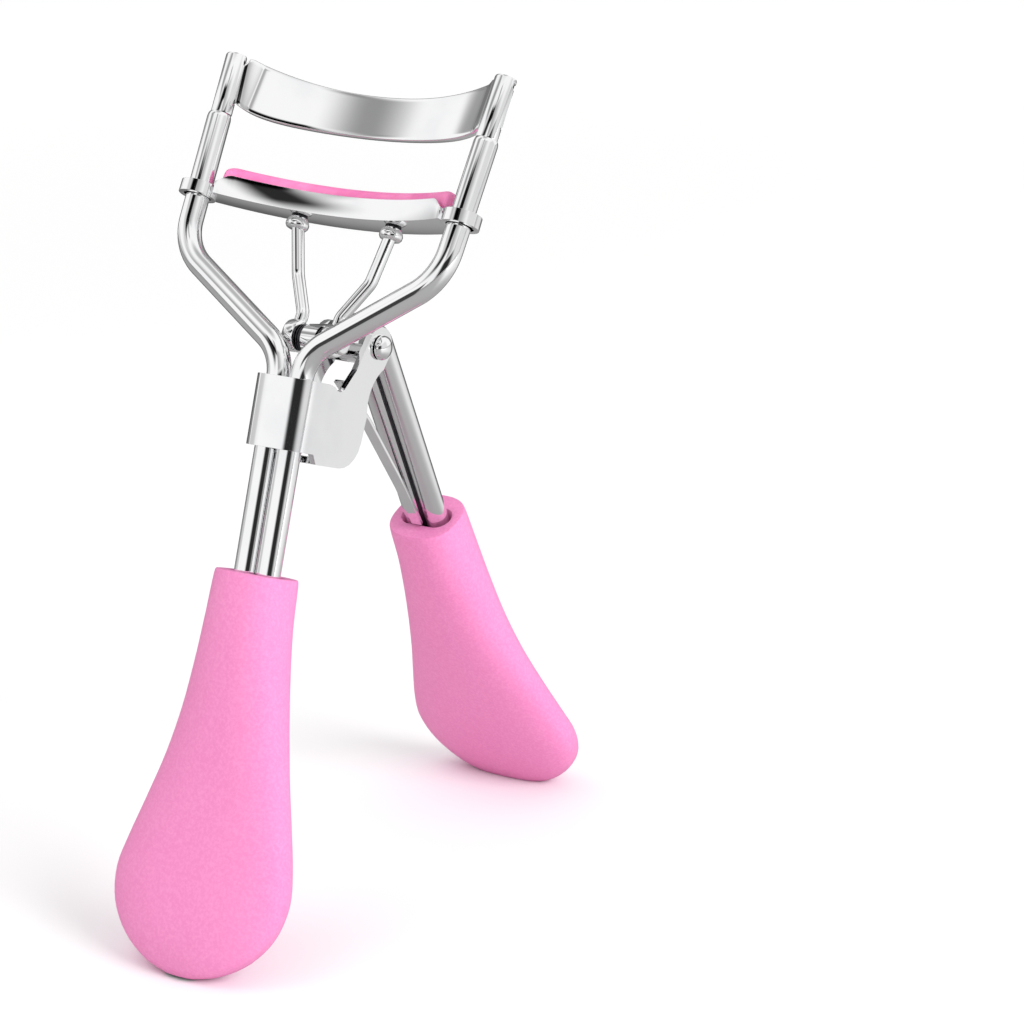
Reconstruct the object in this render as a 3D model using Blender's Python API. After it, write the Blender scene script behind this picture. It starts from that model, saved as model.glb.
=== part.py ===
"""Eyelash curler, standing open on its two grips: one Blender object for each physical piece.

Everything is in metres with +Z up. The shapes are drawn in the handle frame, whose Z runs up the
front handle and whose Y runs to the rear lever, and an empty leans that frame back so that both
toes stand on the floor. The upper plate and the jaw are drawn in the head frame, which leans back
a little more at the rods' upper knees, and the jaw slides along that frame's Z. Every piece of the
lever has its origin on the fulcrum, and each link has its origin in its socket.
"""

import math

import bmesh
import bpy
from mathutils import Matrix, Vector

MM = 0.001

# Stance: the front handle leans back, and the floor is z = 0.
LEAN = math.radians(19.3)
STAND_Y = -17.36 * MM
STAND_Z = 39.45 * MM

# Frame rods
ROD_RADIUS = 1.3 * MM
ROD_SPACING = 1.42 * MM
ROD_SINK = 13.2 * MM
LOWER_KNEE_Z = 23.2 * MM
UPPER_KNEE_Z = 32.8 * MM
LOWER_BEND = 5.0 * MM
UPPER_BEND = 6.0 * MM
KNEE_HALF_SPAN = 16.5 * MM
TIP_HALF_SPAN = 17.4 * MM
HEAD_TILT = math.radians(12.0)
HEAD_HEIGHT = 22.2 * MM
TIP_STEP_Z = 16.2 * MM
TIP_FLAT = 0.95 * MM

# Both plates follow one arc, in the head frame
ARC_RADIUS = 34.0 * MM
ARC_BACK = 4.73 * MM
GAP = 0.3 * MM
FINE_GAP = 0.12 * MM

# Upper plate
UPPER_THICKNESS = 0.9 * MM
UPPER_HALF_CHORD = 15.6 * MM
UPPER_EDGE_Z = 15.7 * MM
UPPER_EDGE_RISE = 0.9 * MM
UPPER_TOP_Z = 20.6 * MM
UPPER_TOP_RISE = 1.5 * MM
TAB_LOW_Z = 16.9 * MM
TAB_HIGH_Z = 21.3 * MM
TAB_REACH = 18.05 * MM
TAB_Y = 0.45 * MM

# Lower plate and pad
PLATE_LOW_Z = 6.7 * MM
PLATE_FLOOR_Z = 7.5 * MM
WALL_TOP_Z = 9.1 * MM
WALL_END_Z = 8.2 * MM
PLATE_HALF_CHORD = 15.4 * MM
PLATE_HALF_WIDTH = 2.15 * MM
PLATE_WALL = 0.45 * MM
RING_RADIUS = 2.2 * MM
RING_BORE = 1.65 * MM
RING_HEIGHT = 1.3 * MM
PAD_HALF_WIDTH = 1.4 * MM
PAD_LOW_Z = 7.75 * MM
PAD_TOP_Z = 10.15 * MM
PAD_HALF_CHORD = 14.7 * MM

# Link sockets under the lower plate
SOCKET_X = 6.05 * MM
SOCKET_HEIGHT = 1.5 * MM
SOCKET_RADIUS = 1.3 * MM
SOCKET_BORE = 0.95 * MM

# Fulcrum, link pin and links
FULCRUM = Vector((0, 10.3, 25.6)) * MM
ARM = 6.9 * MM
ARM_DIP = math.radians(4.0)
RIVET_RADIUS = 0.8 * MM
RIVET_BORE = 1.0 * MM
RIVET_HEAD_RADIUS = 1.35 * MM
RIVET_HEAD_HEIGHT = 0.9 * MM
PIN_RADIUS = 0.6 * MM
PIN_BORE = 0.8 * MM
PIN_HEAD_RADIUS = 1.25 * MM
PIN_HALF = 3.75 * MM
PIN_HEAD_THICKNESS = 0.5 * MM
LINK_RADIUS = 0.68 * MM
LINK_KINK = Vector((4.69, 4.95, 31.8)) * MM
LINK_DROP = 2.6 * MM
SPACER_RADIUS = 1.4 * MM
EYE_RADIUS = 1.6 * MM
EYE_BORE = 1.0 * MM
EYE_INNER_X = 1.75 * MM
EYE_OUTER_X = 3.1 * MM
EYE_FORWARD = 0.28 * MM
EYE_LIFT = 0.13 * MM

# Knuckle, spacers and lever rods
KNUCKLE_HALF_WIDTH = 2.55 * MM
BARREL_HALF_WIDTH = 0.9 * MM
BARREL_RADIUS = 1.6 * MM
BOSS_RADIUS = 2.0 * MM
LEVER_ANGLE = math.radians(43.5)
LEVER_BEND = Vector((0, 13.0, 26.8)) * MM
LEVER_BEND_RADIUS = 2.4 * MM
LEVER_ROOT_Y = 11.9 * MM
LEVER_SPACING = 1.42 * MM
LEVER_LENGTH = 25.4 * MM

# Bracket: one folded strip round the frame rods, with an ear on each side
EAR_OUTER_X = 3.62 * MM
EAR_THICKNESS = 0.7 * MM
COLLAR_FRONT = 2.2 * MM
COLLAR_LOW_Z = 13.2 * MM
COLLAR_HIGH_Z = 20.7 * MM
EAR_LOW_Z = 12.2 * MM
LOBE_RADIUS = 2.2 * MM
WEB_THICKNESS = 0.7 * MM
WEB_REAR_Y = 6.8 * MM

# Return spring
SPRING_HALF_WIDTH = 0.7 * MM
SPRING_THICKNESS = 0.5 * MM
SPRING_STANDOFF = 5.3 * MM

# Grips: distance below the mouth, half width, half depth, offset to the outer side
GRIP_STATIONS = (
    (0.0, 4.1, 3.7, 0.0),
    (0.6, 4.3, 3.9, 0.0),
    (5.0, 4.6, 3.9, 0.0),
    (10.0, 5.3, 3.7, -0.2),
    (15.0, 6.2, 3.5, -0.4),
    (20.0, 7.4, 3.3, -0.4),
    (25.0, 8.9, 3.2, -0.2),
    (29.5, 10.2, 3.3, 0.1),
    (33.0, 10.8, 3.4, 0.5),
    (36.5, 10.0, 3.3, 0.9),
    (39.4, 7.8, 2.9, 1.2),
    (41.4, 4.8, 2.1, 1.4),
    (42.3, 2.0, 1.1, 1.5),
)
GRIP_CORNER = 2.5
MOUTH_DEPTH = 13.6 * MM

ROD_SIDES = 16
PIN_SIDES = 20
GRIP_SIDES = 32
ARC_STEPS = 16


# ---------------------------------------------------------------- scene and materials


def clear_scene():
    """Removes every object of the open scene."""
    for obj in list(bpy.data.objects):
        bpy.data.objects.remove(obj)


def material(name, colour, roughness, metallic):
    """A Principled material with one colour."""
    made = bpy.data.materials.new(name)
    made.use_nodes = True
    shader = made.node_tree.nodes["Principled BSDF"]
    shader.inputs["Base Color"].default_value = (*colour, 1)
    shader.inputs["Roughness"].default_value = roughness
    shader.inputs["Metallic"].default_value = metallic
    return made


def empty(name, location=(0, 0, 0), tilt=0.0, parent=None):
    """An empty at a joint or a frame, turned about X so that its Z leans back by tilt."""
    made = bpy.data.objects.new(name, None)
    bpy.context.collection.objects.link(made)
    made.parent = parent
    made.location = location
    made.rotation_euler = (-tilt, 0, 0)
    return made


def node(name, bm, finish, parent, origin=(0, 0, 0)):
    """Makes the bmesh an object under its parent, with the mesh drawn in the parent's frame."""
    bmesh.ops.recalc_face_normals(bm, faces=bm.faces)
    mesh = bpy.data.meshes.new(name)
    bm.to_mesh(mesh)
    bm.free()
    mesh.transform(Matrix.Translation(-Vector(origin)))
    mesh.shade_smooth()
    mesh.set_sharp_from_angle(angle=math.radians(35))
    made = bpy.data.objects.new(name, mesh)
    bpy.context.collection.objects.link(made)
    made.parent = parent
    made.location = origin
    if finish is not None:
        mesh.materials.append(finish)
    return made


def combine(target, tool_bm, operation):
    """Joins a tool to the target, or cuts it away, by an exact Boolean."""
    number = len(target.modifiers) + 1
    tool = node(f"{target.name}_tool_{number}", tool_bm, None, target.parent)
    tool.hide_render = True
    tool.display_type = "WIRE"
    step = target.modifiers.new(f"{operation.lower()}_{number}", "BOOLEAN")
    step.operation = operation
    step.solver = "EXACT"
    step.object = tool


# ---------------------------------------------------------------- shape helpers


def loft(rings):
    """A closed solid through rings of equal point count, with a flat cap at each end."""
    bm = bmesh.new()
    rows = [[bm.verts.new(point) for point in ring] for ring in rings]
    for low, high in zip(rows, rows[1:]):
        for i in range(len(low)):
            j = (i + 1) % len(low)
            bm.faces.new((low[i], low[j], high[j], high[i]))
    bm.faces.new(rows[0])
    bm.faces.new(rows[-1])
    return bm


def rounded_route(corners, bends, steps=6):
    """Points along straight runs whose corners are arcs of the given radii."""
    route = [corners[0]]
    for before, corner, after, radius in zip(corners, corners[1:], corners[2:], bends):
        into = (corner - before).normalized()
        out = (after - corner).normalized()
        turn = into.angle(out)
        reach = radius * math.tan(turn / 2)
        start = corner - into * reach
        end = corner + out * reach
        centre = corner + (out - into).normalized() * (radius / math.cos(turn / 2))
        first = (start - centre).normalized()
        last = (end - centre).normalized()
        for step in range(steps + 1):
            route.append(centre + first.slerp(last, step / steps) * radius)
    route.append(corners[-1])
    return route


def rod(route, radius, sides=ROD_SIDES):
    """A round bar along a route that lies in one plane or bends gently."""
    rings = []
    normal = (route[1] - route[0]).orthogonal().normalized()
    for i, centre in enumerate(route):
        before = route[max(i - 1, 0)]
        after = route[min(i + 1, len(route) - 1)]
        run_in = (centre - before).normalized() if i else (after - centre).normalized()
        run_out = (after - centre).normalized() if i < len(route) - 1 else run_in
        along = (run_in + run_out).normalized()
        normal = (normal - along * normal.dot(along)).normalized()
        other = along.cross(normal)
        ring = []
        for k in range(sides):
            angle = math.tau * k / sides
            ring.append(centre + (normal * math.cos(angle) + other * math.sin(angle)) * radius)
        rings.append(ring)
    return loft(rings)


def turned_x(profile, centre, sides=PIN_SIDES):
    """A solid turned about an X axis through centre, from (x, radius) pairs."""
    rings = []
    for x, radius in profile:
        ring = []
        for k in range(sides):
            angle = math.tau * k / sides
            ring.append((x, centre[1] + radius * math.cos(angle), centre[2] + radius * math.sin(angle)))
        rings.append(ring)
    return loft(rings)


def turned_z(profile, centre, sides=PIN_SIDES):
    """A solid turned about a Z axis through centre, from (z, radius) pairs."""
    rings = []
    for z, radius in profile:
        ring = []
        for k in range(sides):
            angle = math.tau * k / sides
            ring.append((centre[0] + radius * math.cos(angle), centre[1] + radius * math.sin(angle), z))
        rings.append(ring)
    return loft(rings)


def block(low, high):
    """A box from its lowest to its highest corner."""
    corners = ((low[0], low[1]), (high[0], low[1]), (high[0], high[1]), (low[0], high[1]))
    return loft([[(x, y, z) for x, y in corners] for z in (low[2], high[2])])


def plate_x(outline, x_low, x_high):
    """A flat plate whose (y, z) outline is pushed along X."""
    return loft([[(x, y, z) for y, z in outline] for x in (x_low, x_high)])


def arc(centre, radius, start, end, steps=6):
    """Points in a plane along an arc, with its angles in degrees."""
    points = []
    for step in range(steps + 1):
        angle = math.radians(start + (end - start) * step / steps)
        points.append((centre[0] + radius * math.cos(angle), centre[1] + radius * math.sin(angle)))
    return points


def dome(x_base, height, radius, side, steps=4):
    """(x, radius) pairs of a domed head that bulges to one side from its base."""
    pairs = []
    for step in range(steps + 1):
        angle = math.pi / 2 * step / steps
        pairs.append((x_base + side * height * math.sin(angle), max(radius * math.cos(angle), 0.12 * MM)))
    return pairs


def arc_point(x):
    """Y and the outward normal (x, y) of the plates' arc at x, in the head frame."""
    drop = math.sqrt(ARC_RADIUS**2 - x**2)
    return ARC_BACK - ARC_RADIUS + drop, (x / ARC_RADIUS, drop / ARC_RADIUS)


def along_arc(half_chord, section, steps=ARC_STEPS):
    """A solid whose (offset, z) section, given for each x, follows the plates' arc."""
    limit = math.asin(half_chord / ARC_RADIUS)
    rings = []
    for step in range(steps + 1):
        x = ARC_RADIUS * math.sin(limit * (2 * step / steps - 1))
        y, normal = arc_point(x)
        rings.append([(x + off * normal[0], y + off * normal[1], z) for off, z in section(x)])
    return loft(rings)


# ---------------------------------------------------------------- frame


def rod_x(height):
    """How far out a frame rod stands at a height in the head frame: the rods splay a little."""
    return KNEE_HALF_SPAN + (TIP_HALF_SPAN - KNEE_HALF_SPAN) * height / HEAD_HEIGHT


def tip_cutter(side):
    """What is cut off a rod's tip: the outer flat, from the step to the top."""
    outer, far = sorted((side * (rod_x(TIP_STEP_Z) + TIP_FLAT), side * (TIP_HALF_SPAN + 3 * MM)))
    return block((outer, -3 * MM, TIP_STEP_Z), (far, 3 * MM, HEAD_HEIGHT + MM))


def slot_cutter(side):
    """The slot through a tip that the plate's tab is pressed into."""
    low_x, high_x = sorted((side * (KNEE_HALF_SPAN - 3 * MM), side * (TIP_HALF_SPAN + 3 * MM)))
    half = UPPER_THICKNESS / 2 + FINE_GAP
    low = (low_x, TAB_Y - half, TAB_LOW_Z - FINE_GAP)
    return block(low, (high_x, TAB_Y + half, TAB_HIGH_Z + FINE_GAP))


def frame_rod(side, name, finish, stand, head):
    """One frame rod: up out of the grip, out to the knee and up to its slotted tip."""
    knee = Vector((side * KNEE_HALF_SPAN, 0, UPPER_KNEE_Z))
    tip_y = HEAD_HEIGHT * math.sin(HEAD_TILT)
    tip_z = UPPER_KNEE_Z + HEAD_HEIGHT * math.cos(HEAD_TILT)
    corners = [
        Vector((side * ROD_SPACING, 0, -ROD_SINK)),
        Vector((side * ROD_SPACING, 0, LOWER_KNEE_Z)),
        knee,
        Vector((side * TIP_HALF_SPAN, tip_y, tip_z)),
    ]
    made = node(name, rod(rounded_route(corners, (LOWER_BEND, UPPER_BEND)), ROD_RADIUS), finish, stand)
    for cutter in (tip_cutter(side), slot_cutter(side)):
        combine(made, cutter, "DIFFERENCE")
        made.modifiers[-1].object.parent = head
    return made


def upper_plate(finish, head):
    """The curved upper plate, with a tab at each end that sits in a rod's slot."""
    half = UPPER_THICKNESS / 2

    def section(x):
        part = min(abs(x) / UPPER_HALF_CHORD, 1)
        low = UPPER_EDGE_Z + UPPER_EDGE_RISE * part**8
        high = UPPER_TOP_Z + UPPER_TOP_RISE * part**2.3
        return (-half, low), (half, low), (half, high), (-half, high)

    made = node("upper_plate", along_arc(UPPER_HALF_CHORD, section, steps=20), finish, head)
    inside = UPPER_HALF_CHORD - MM
    stations = ((inside, arc_point(inside)[0]), (UPPER_HALF_CHORD + 0.1 * MM, TAB_Y), (TAB_REACH, TAB_Y))
    for side in (-1, 1):
        rings = []
        for x, middle in stations:
            corners = ((-half, TAB_LOW_Z), (half, TAB_LOW_Z), (half, TAB_HIGH_Z), (-half, TAB_HIGH_Z))
            rings.append([(side * x, middle + off, z) for off, z in corners])
        combine(made, loft(rings), "UNION")
    return made


def strip_outline():
    """The folded strip seen from above, as (x, y): its outer side, then its inner side."""
    inner_round = COLLAR_FRONT - EAR_THICKNESS
    centre_x = EAR_OUTER_X - COLLAR_FRONT
    inner_x = EAR_OUTER_X - EAR_THICKNESS
    rear = FULCRUM.y + 2 * LOBE_RADIUS
    outer = [(EAR_OUTER_X, rear)]
    outer += arc((centre_x, 0), COLLAR_FRONT, 0, -90, 8)
    outer += arc((-centre_x, 0), COLLAR_FRONT, -90, -180, 8)
    outer.append((-EAR_OUTER_X, rear))
    inner = [(-inner_x, rear)]
    inner += arc((-centre_x, 0), inner_round, -180, -90, 8)
    inner += arc((centre_x, 0), inner_round, -90, 0, 8)
    inner.append((inner_x, rear))
    return outer + inner


def ear_outline():
    """The bracket seen from the side, as (y, z): collar, notch, lobe, waist and rounded foot."""
    lobe = (FULCRUM.y, FULCRUM.z)
    outline = [(-COLLAR_FRONT - MM, COLLAR_LOW_Z), (1.3 * MM, COLLAR_LOW_Z), (2.0 * MM, EAR_LOW_Z)]
    outline += arc((6.3 * MM, EAR_LOW_Z + 3.4 * MM), 3.4 * MM, -90, -8, 5)
    outline += [(9.9 * MM, 17.6 * MM), (10.4 * MM, 20.4 * MM)]
    outline += arc(lobe, LOBE_RADIUS, -38, 150, 10)
    outline += [(6.6 * MM, 22.6 * MM)]
    outline += arc((4.2 * MM, 21.3 * MM), 1.2 * MM, -20, -140, 4)
    outline += [(2.3 * MM, COLLAR_HIGH_Z), (-COLLAR_FRONT - MM, COLLAR_HIGH_Z)]
    return outline


def fulcrum_bracket(finish, stand):
    """The bracket: a strip folded round the rods, cut to the side outline, with a web below."""
    outline = strip_outline()
    rings = [[(x, y, z) for x, y in outline] for z in (EAR_LOW_Z - MM, FULCRUM.z + 2 * LOBE_RADIUS)]
    made = node("fulcrum_bracket", loft(rings), finish, stand)
    combine(made, plate_x(ear_outline(), -2 * EAR_OUTER_X, 2 * EAR_OUTER_X), "INTERSECT")
    side = EAR_OUTER_X - EAR_THICKNESS / 2
    web_low = (-side, 2.0 * MM, EAR_LOW_Z)
    web_high = (side, WEB_REAR_Y, EAR_LOW_Z + WEB_THICKNESS)
    combine(made, block(web_low, web_high), "UNION")
    reach = 2 * EAR_OUTER_X
    combine(made, turned_x(((-reach, RIVET_BORE), (reach, RIVET_BORE)), FULCRUM), "DIFFERENCE")
    return made


def fulcrum_rivet(finish, stand):
    """The rivet through both ears and the knuckle, with a domed head at each end."""
    base = EAR_OUTER_X + FINE_GAP
    head = dome(base + 0.15 * MM, RIVET_HEAD_HEIGHT, RIVET_HEAD_RADIUS, 1)
    half = [(base, RIVET_RADIUS), (base, RIVET_HEAD_RADIUS)] + head
    profile = [(-x, radius) for x, radius in reversed(half)] + half
    return node("fulcrum_rivet", turned_x(profile, FULCRUM), finish, stand)


# ---------------------------------------------------------------- grips


def grip_stations():
    """The grip's stations with two more between each pair, on a smooth curve through them."""
    ends = (GRIP_STATIONS[0],) + GRIP_STATIONS + (GRIP_STATIONS[-1],)
    filled = []
    for before, start, end, after in zip(ends, ends[1:], ends[2:], ends[3:]):
        for t in (0.0, 1 / 3, 2 / 3):
            filled.append(tuple(
                q + (r - p) * t / 2 + (p - 2.5 * q + 2 * r - s / 2) * t**2 + (1.5 * (q - r) + (s - p) / 2) * t**3
                for p, q, r, s in zip(before, start, end, after)
            ))
    return filled + [GRIP_STATIONS[-1]]


def grip_ring(station):
    """One cross section of a grip, in the grip's own frame, where -Y is the outer side."""
    below, half_width, half_depth, outward = (value * MM for value in station)
    ring = []
    for k in range(GRIP_SIDES):
        angle = math.tau * k / GRIP_SIDES
        across = math.copysign(abs(math.cos(angle)) ** (2 / GRIP_CORNER), math.cos(angle))
        deep = math.copysign(abs(math.sin(angle)) ** (2 / GRIP_CORNER), math.sin(angle))
        ring.append((half_width * across, half_depth * deep - outward, -below))
    return ring


def mouth_cutter():
    """The oblong mouth that takes the two rods and, in the rear grip, the spring."""
    wide = ROD_SPACING + ROD_RADIUS + GAP
    deep = ROD_RADIUS + GAP
    rings = []
    for z in (-MOUTH_DEPTH, MM):
        ring = []
        for side, start in ((1, -90), (-1, 90)):
            for step in range(7):
                angle = math.radians(start + 30 * step)
                ring.append((side * (wide - deep) + deep * math.cos(angle), deep * math.sin(angle), z))
        rings.append(ring)
    return loft(rings)


def grip(name, finish, parent, place, floor, origin=(0, 0, 0)):
    """One grip, its toe cut flat where it stands on the floor."""
    bm = loft([grip_ring(station) for station in grip_stations()])
    bmesh.ops.transform(bm, matrix=place, verts=bm.verts)
    cut = bmesh.ops.bisect_plane(
        bm,
        geom=bm.verts[:] + bm.edges[:] + bm.faces[:],
        plane_co=floor.translation,
        plane_no=floor.to_3x3() @ Vector((0, 0, 1)),
        clear_inner=True,
    )
    rim = [edge for edge in cut["geom_cut"] if isinstance(edge, bmesh.types.BMEdge)]
    bmesh.ops.contextual_create(bm, geom=rim)
    made = node(name, bm, finish, parent, origin)
    cutter = mouth_cutter()
    bmesh.ops.transform(cutter, matrix=place, verts=cutter.verts)
    combine(made, cutter, "DIFFERENCE")
    return made


# ---------------------------------------------------------------- jaw


def plate_section(x):
    """The lower plate's channel at x: its walls drop towards the rings."""
    part = min(max((abs(x) - 12.6 * MM) / (2.2 * MM), 0), 1)
    top = WALL_TOP_Z + (WALL_END_Z - WALL_TOP_Z) * part * part * (3 - 2 * part)
    out = PLATE_HALF_WIDTH
    inside = PLATE_HALF_WIDTH - PLATE_WALL
    return (
        (-out, PLATE_LOW_Z),
        (out, PLATE_LOW_Z),
        (out, top),
        (inside, top),
        (inside, PLATE_FLOOR_Z),
        (-inside, PLATE_FLOOR_Z),
        (-inside, top),
        (-out, top),
    )


def lower_plate(finish, jaw):
    """The lower plate: a curved channel for the pad, with a ring on each frame rod."""
    made = node("lower_plate", along_arc(PLATE_HALF_CHORD, plate_section, steps=24), finish, jaw)
    low = PLATE_LOW_Z - 0.05 * MM
    for side in (-1, 1):
        place = (side * rod_x(low), 0)
        ring = turned_z(((low, RING_RADIUS), (low + RING_HEIGHT, RING_RADIUS)), place, 24)
        combine(made, ring, "UNION")
    for side in (-1, 1):
        place = (side * rod_x(low), 0)
        bore = turned_z(((low - MM, RING_BORE), (WALL_TOP_Z + MM, RING_BORE)), place, 24)
        combine(made, bore, "DIFFERENCE")
    return made


def pad_section(x):
    """The pad at x: a flat foot and a round top, smaller at the two ends."""
    part = min(max((abs(x) - (PAD_HALF_CHORD - 1.2 * MM)) / (1.2 * MM), 0), 1)
    shrink = math.sqrt(1 - 0.92 * part * part)
    middle = (PAD_LOW_Z + PAD_TOP_Z) / 2
    half = (PAD_TOP_Z - PAD_LOW_Z) / 2 * (1 - 0.5 * part * part)
    points = []
    for off, up in ((-1, -1), (1, -1), (1, 0.1), (0.86, 0.62), (0.5, 0.95), (-0.5, 0.95), (-0.86, 0.62), (-1, 0.1)):
        points.append((off * PAD_HALF_WIDTH * shrink, middle + up * half))
    return points


def lash_pad(finish, jaw):
    """The soft pad that sits in the channel and stands proud of its walls."""
    return node("lash_pad", along_arc(PAD_HALF_CHORD, pad_section, steps=24), finish, jaw)


def socket(side, name, finish, jaw):
    """A domed nut under the lower plate that holds a link's upper end."""
    y, _ = arc_point(SOCKET_X)
    top = PLATE_LOW_Z - FINE_GAP
    low = top - SOCKET_HEIGHT
    profile = (
        (low, SOCKET_RADIUS * 0.82),
        (low + 0.3 * MM, SOCKET_RADIUS),
        (top - 0.5 * MM, SOCKET_RADIUS),
        (top, SOCKET_RADIUS * 0.85),
    )
    place = (side * SOCKET_X, y)
    made = node(name, turned_z(profile, place), finish, jaw)
    bore = turned_z(((low - MM, SOCKET_BORE), (top - 0.35 * MM, SOCKET_BORE)), place)
    combine(made, bore, "DIFFERENCE")
    return made


# ---------------------------------------------------------------- links and lever


def pin_centre():
    """The link pin's axis at rest, a lever arm in front of the fulcrum and a little below it."""
    return FULCRUM + Vector((0, -math.cos(ARM_DIP), -math.sin(ARM_DIP))) * ARM


def link(side, name, finish, parent, top):
    """A link: a thin rod from its socket, kinked inwards, ending in an eye on the link pin."""
    eye = pin_centre() + Vector((side * (EYE_INNER_X + EYE_OUTER_X) / 2, -EYE_FORWARD, EYE_LIFT))
    kink = Vector((side * LINK_KINK.x, LINK_KINK.y, LINK_KINK.z))
    towards = Vector((0, kink.y - eye.y, kink.z - eye.z)).normalized()
    above = eye + towards * LINK_DROP
    meet = eye + towards * (EYE_BORE + 0.25 * MM)
    route = rounded_route([top, kink, above, meet], (3.0 * MM, 1.5 * MM), 4)
    inner, outer = sorted((side * EYE_INNER_X, side * EYE_OUTER_X))
    made = node(name, rod(route, LINK_RADIUS, 12), finish, parent, top)
    combine(made, turned_x(((inner, EYE_RADIUS), (outer, EYE_RADIUS)), eye), "UNION")
    combine(made, turned_x(((inner - MM, EYE_BORE), (outer + MM, EYE_BORE)), eye), "DIFFERENCE")
    return made


def link_pin(finish, lever):
    """The pin through the knuckle's barrel and both link eyes, with a flat head at each end."""
    shaft = PIN_HALF - PIN_HEAD_THICKNESS
    half = ((shaft, PIN_RADIUS), (shaft, PIN_HEAD_RADIUS), (PIN_HALF - 0.1 * MM, PIN_HEAD_RADIUS))
    half += ((PIN_HALF, PIN_HEAD_RADIUS - 0.2 * MM),)
    profile = [(-x, radius) for x, radius in reversed(half)] + list(half)
    return node("link_pin", turned_x(profile, pin_centre()), finish, lever, FULCRUM)


def link_spacer(side, name, finish, lever):
    """The ring on the link pin that keeps an eye off the barrel."""
    inner, outer = sorted((side * (BARREL_HALF_WIDTH + FINE_GAP), side * (EYE_INNER_X - FINE_GAP)))
    body = turned_x(((inner, SPACER_RADIUS), (outer, SPACER_RADIUS)), pin_centre())
    made = node(name, body, finish, lever, FULCRUM)
    combine(made, turned_x(((inner - MM, PIN_BORE), (outer + MM, PIN_BORE)), pin_centre()), "DIFFERENCE")
    return made


def lever_route(offset=0.0):
    """The lever rods' line in the mirror plane, from the knuckle to inside the rear grip."""
    down = Vector((0, math.sin(LEVER_ANGLE), -math.cos(LEVER_ANGLE)))
    root = Vector((offset, LEVER_ROOT_Y, LEVER_BEND.z + 0.2 * MM))
    bend = LEVER_BEND + Vector((offset, 0, 0))
    return [root, bend, bend + down * (LEVER_LENGTH + ROD_SINK)]


def lever_rod(side, name, finish, lever):
    """One lever rod: out of the knuckle, round the bend and down into the rear grip."""
    route = rounded_route(lever_route(side * LEVER_SPACING), (LEVER_BEND_RADIUS,))
    return node(name, rod(route, ROD_RADIUS), finish, lever, FULCRUM)


def knuckle_neck():
    """The narrow front of the knuckle: the boss on the fulcrum joined to the barrel."""
    pin = pin_centre()
    outline = arc((FULCRUM.y, FULCRUM.z), BOSS_RADIUS, -88, 92, 8)
    outline += arc((pin.y, pin.z), BARREL_RADIUS, 92, 268, 8)
    return plate_x(outline, -BARREL_HALF_WIDTH, BARREL_HALF_WIDTH)


def lever_knuckle(finish, lever):
    """The block at the lever's head: it turns on the rivet and holds the rods and the barrel."""
    root = lever_route()[0]
    outline = arc((FULCRUM.y, FULCRUM.z), BOSS_RADIUS, 180, 320, 7)
    outline += arc((root.y - 0.3 * MM, root.z), 1.95 * MM, -30, 100, 6)
    body = plate_x(outline, -KNUCKLE_HALF_WIDTH, KNUCKLE_HALF_WIDTH)
    made = node("lever_knuckle", body, finish, lever, FULCRUM)
    combine(made, knuckle_neck(), "UNION")
    combine(made, turned_x(((-4 * MM, RIVET_BORE), (4 * MM, RIVET_BORE)), FULCRUM), "DIFFERENCE")
    combine(made, turned_x(((-4 * MM, PIN_BORE), (4 * MM, PIN_BORE)), pin_centre()), "DIFFERENCE")
    wide = LEVER_SPACING + ROD_RADIUS + GAP
    low = (-wide, root.y - GAP, root.z - ROD_RADIUS - 5 * GAP)
    high = (wide, root.y + 6 * MM, root.z + 4 * MM)
    combine(made, block(low, high), "DIFFERENCE")
    return made


def return_spring(finish, lever):
    """The flat spring: clamped beside the rods in the rear grip, reaching up between the ears."""
    down = Vector((0, math.sin(LEVER_ANGLE), -math.cos(LEVER_ANGLE)))
    inward = Vector((0, -math.cos(LEVER_ANGLE), -math.sin(LEVER_ANGLE)))
    close = ROD_RADIUS + 0.2 * MM + SPRING_THICKNESS / 2
    stations = ((1.2, SPRING_STANDOFF + 1.3 * MM), (8.0, SPRING_STANDOFF - 0.6 * MM), (19.0, close + 0.9 * MM))
    stations += ((25.0, close + 0.1 * MM),)
    rings = []
    for run, standoff in stations:
        centre = LEVER_BEND + down * run * MM + inward * standoff
        half = inward * (SPRING_THICKNESS / 2)
        wide = Vector((SPRING_HALF_WIDTH, 0, 0))
        rings.append([centre - wide - half, centre + wide - half, centre + wide + half, centre - wide + half])
    return node("return_spring", loft(rings), finish, lever, FULCRUM)


# ---------------------------------------------------------------- assembly


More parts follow.
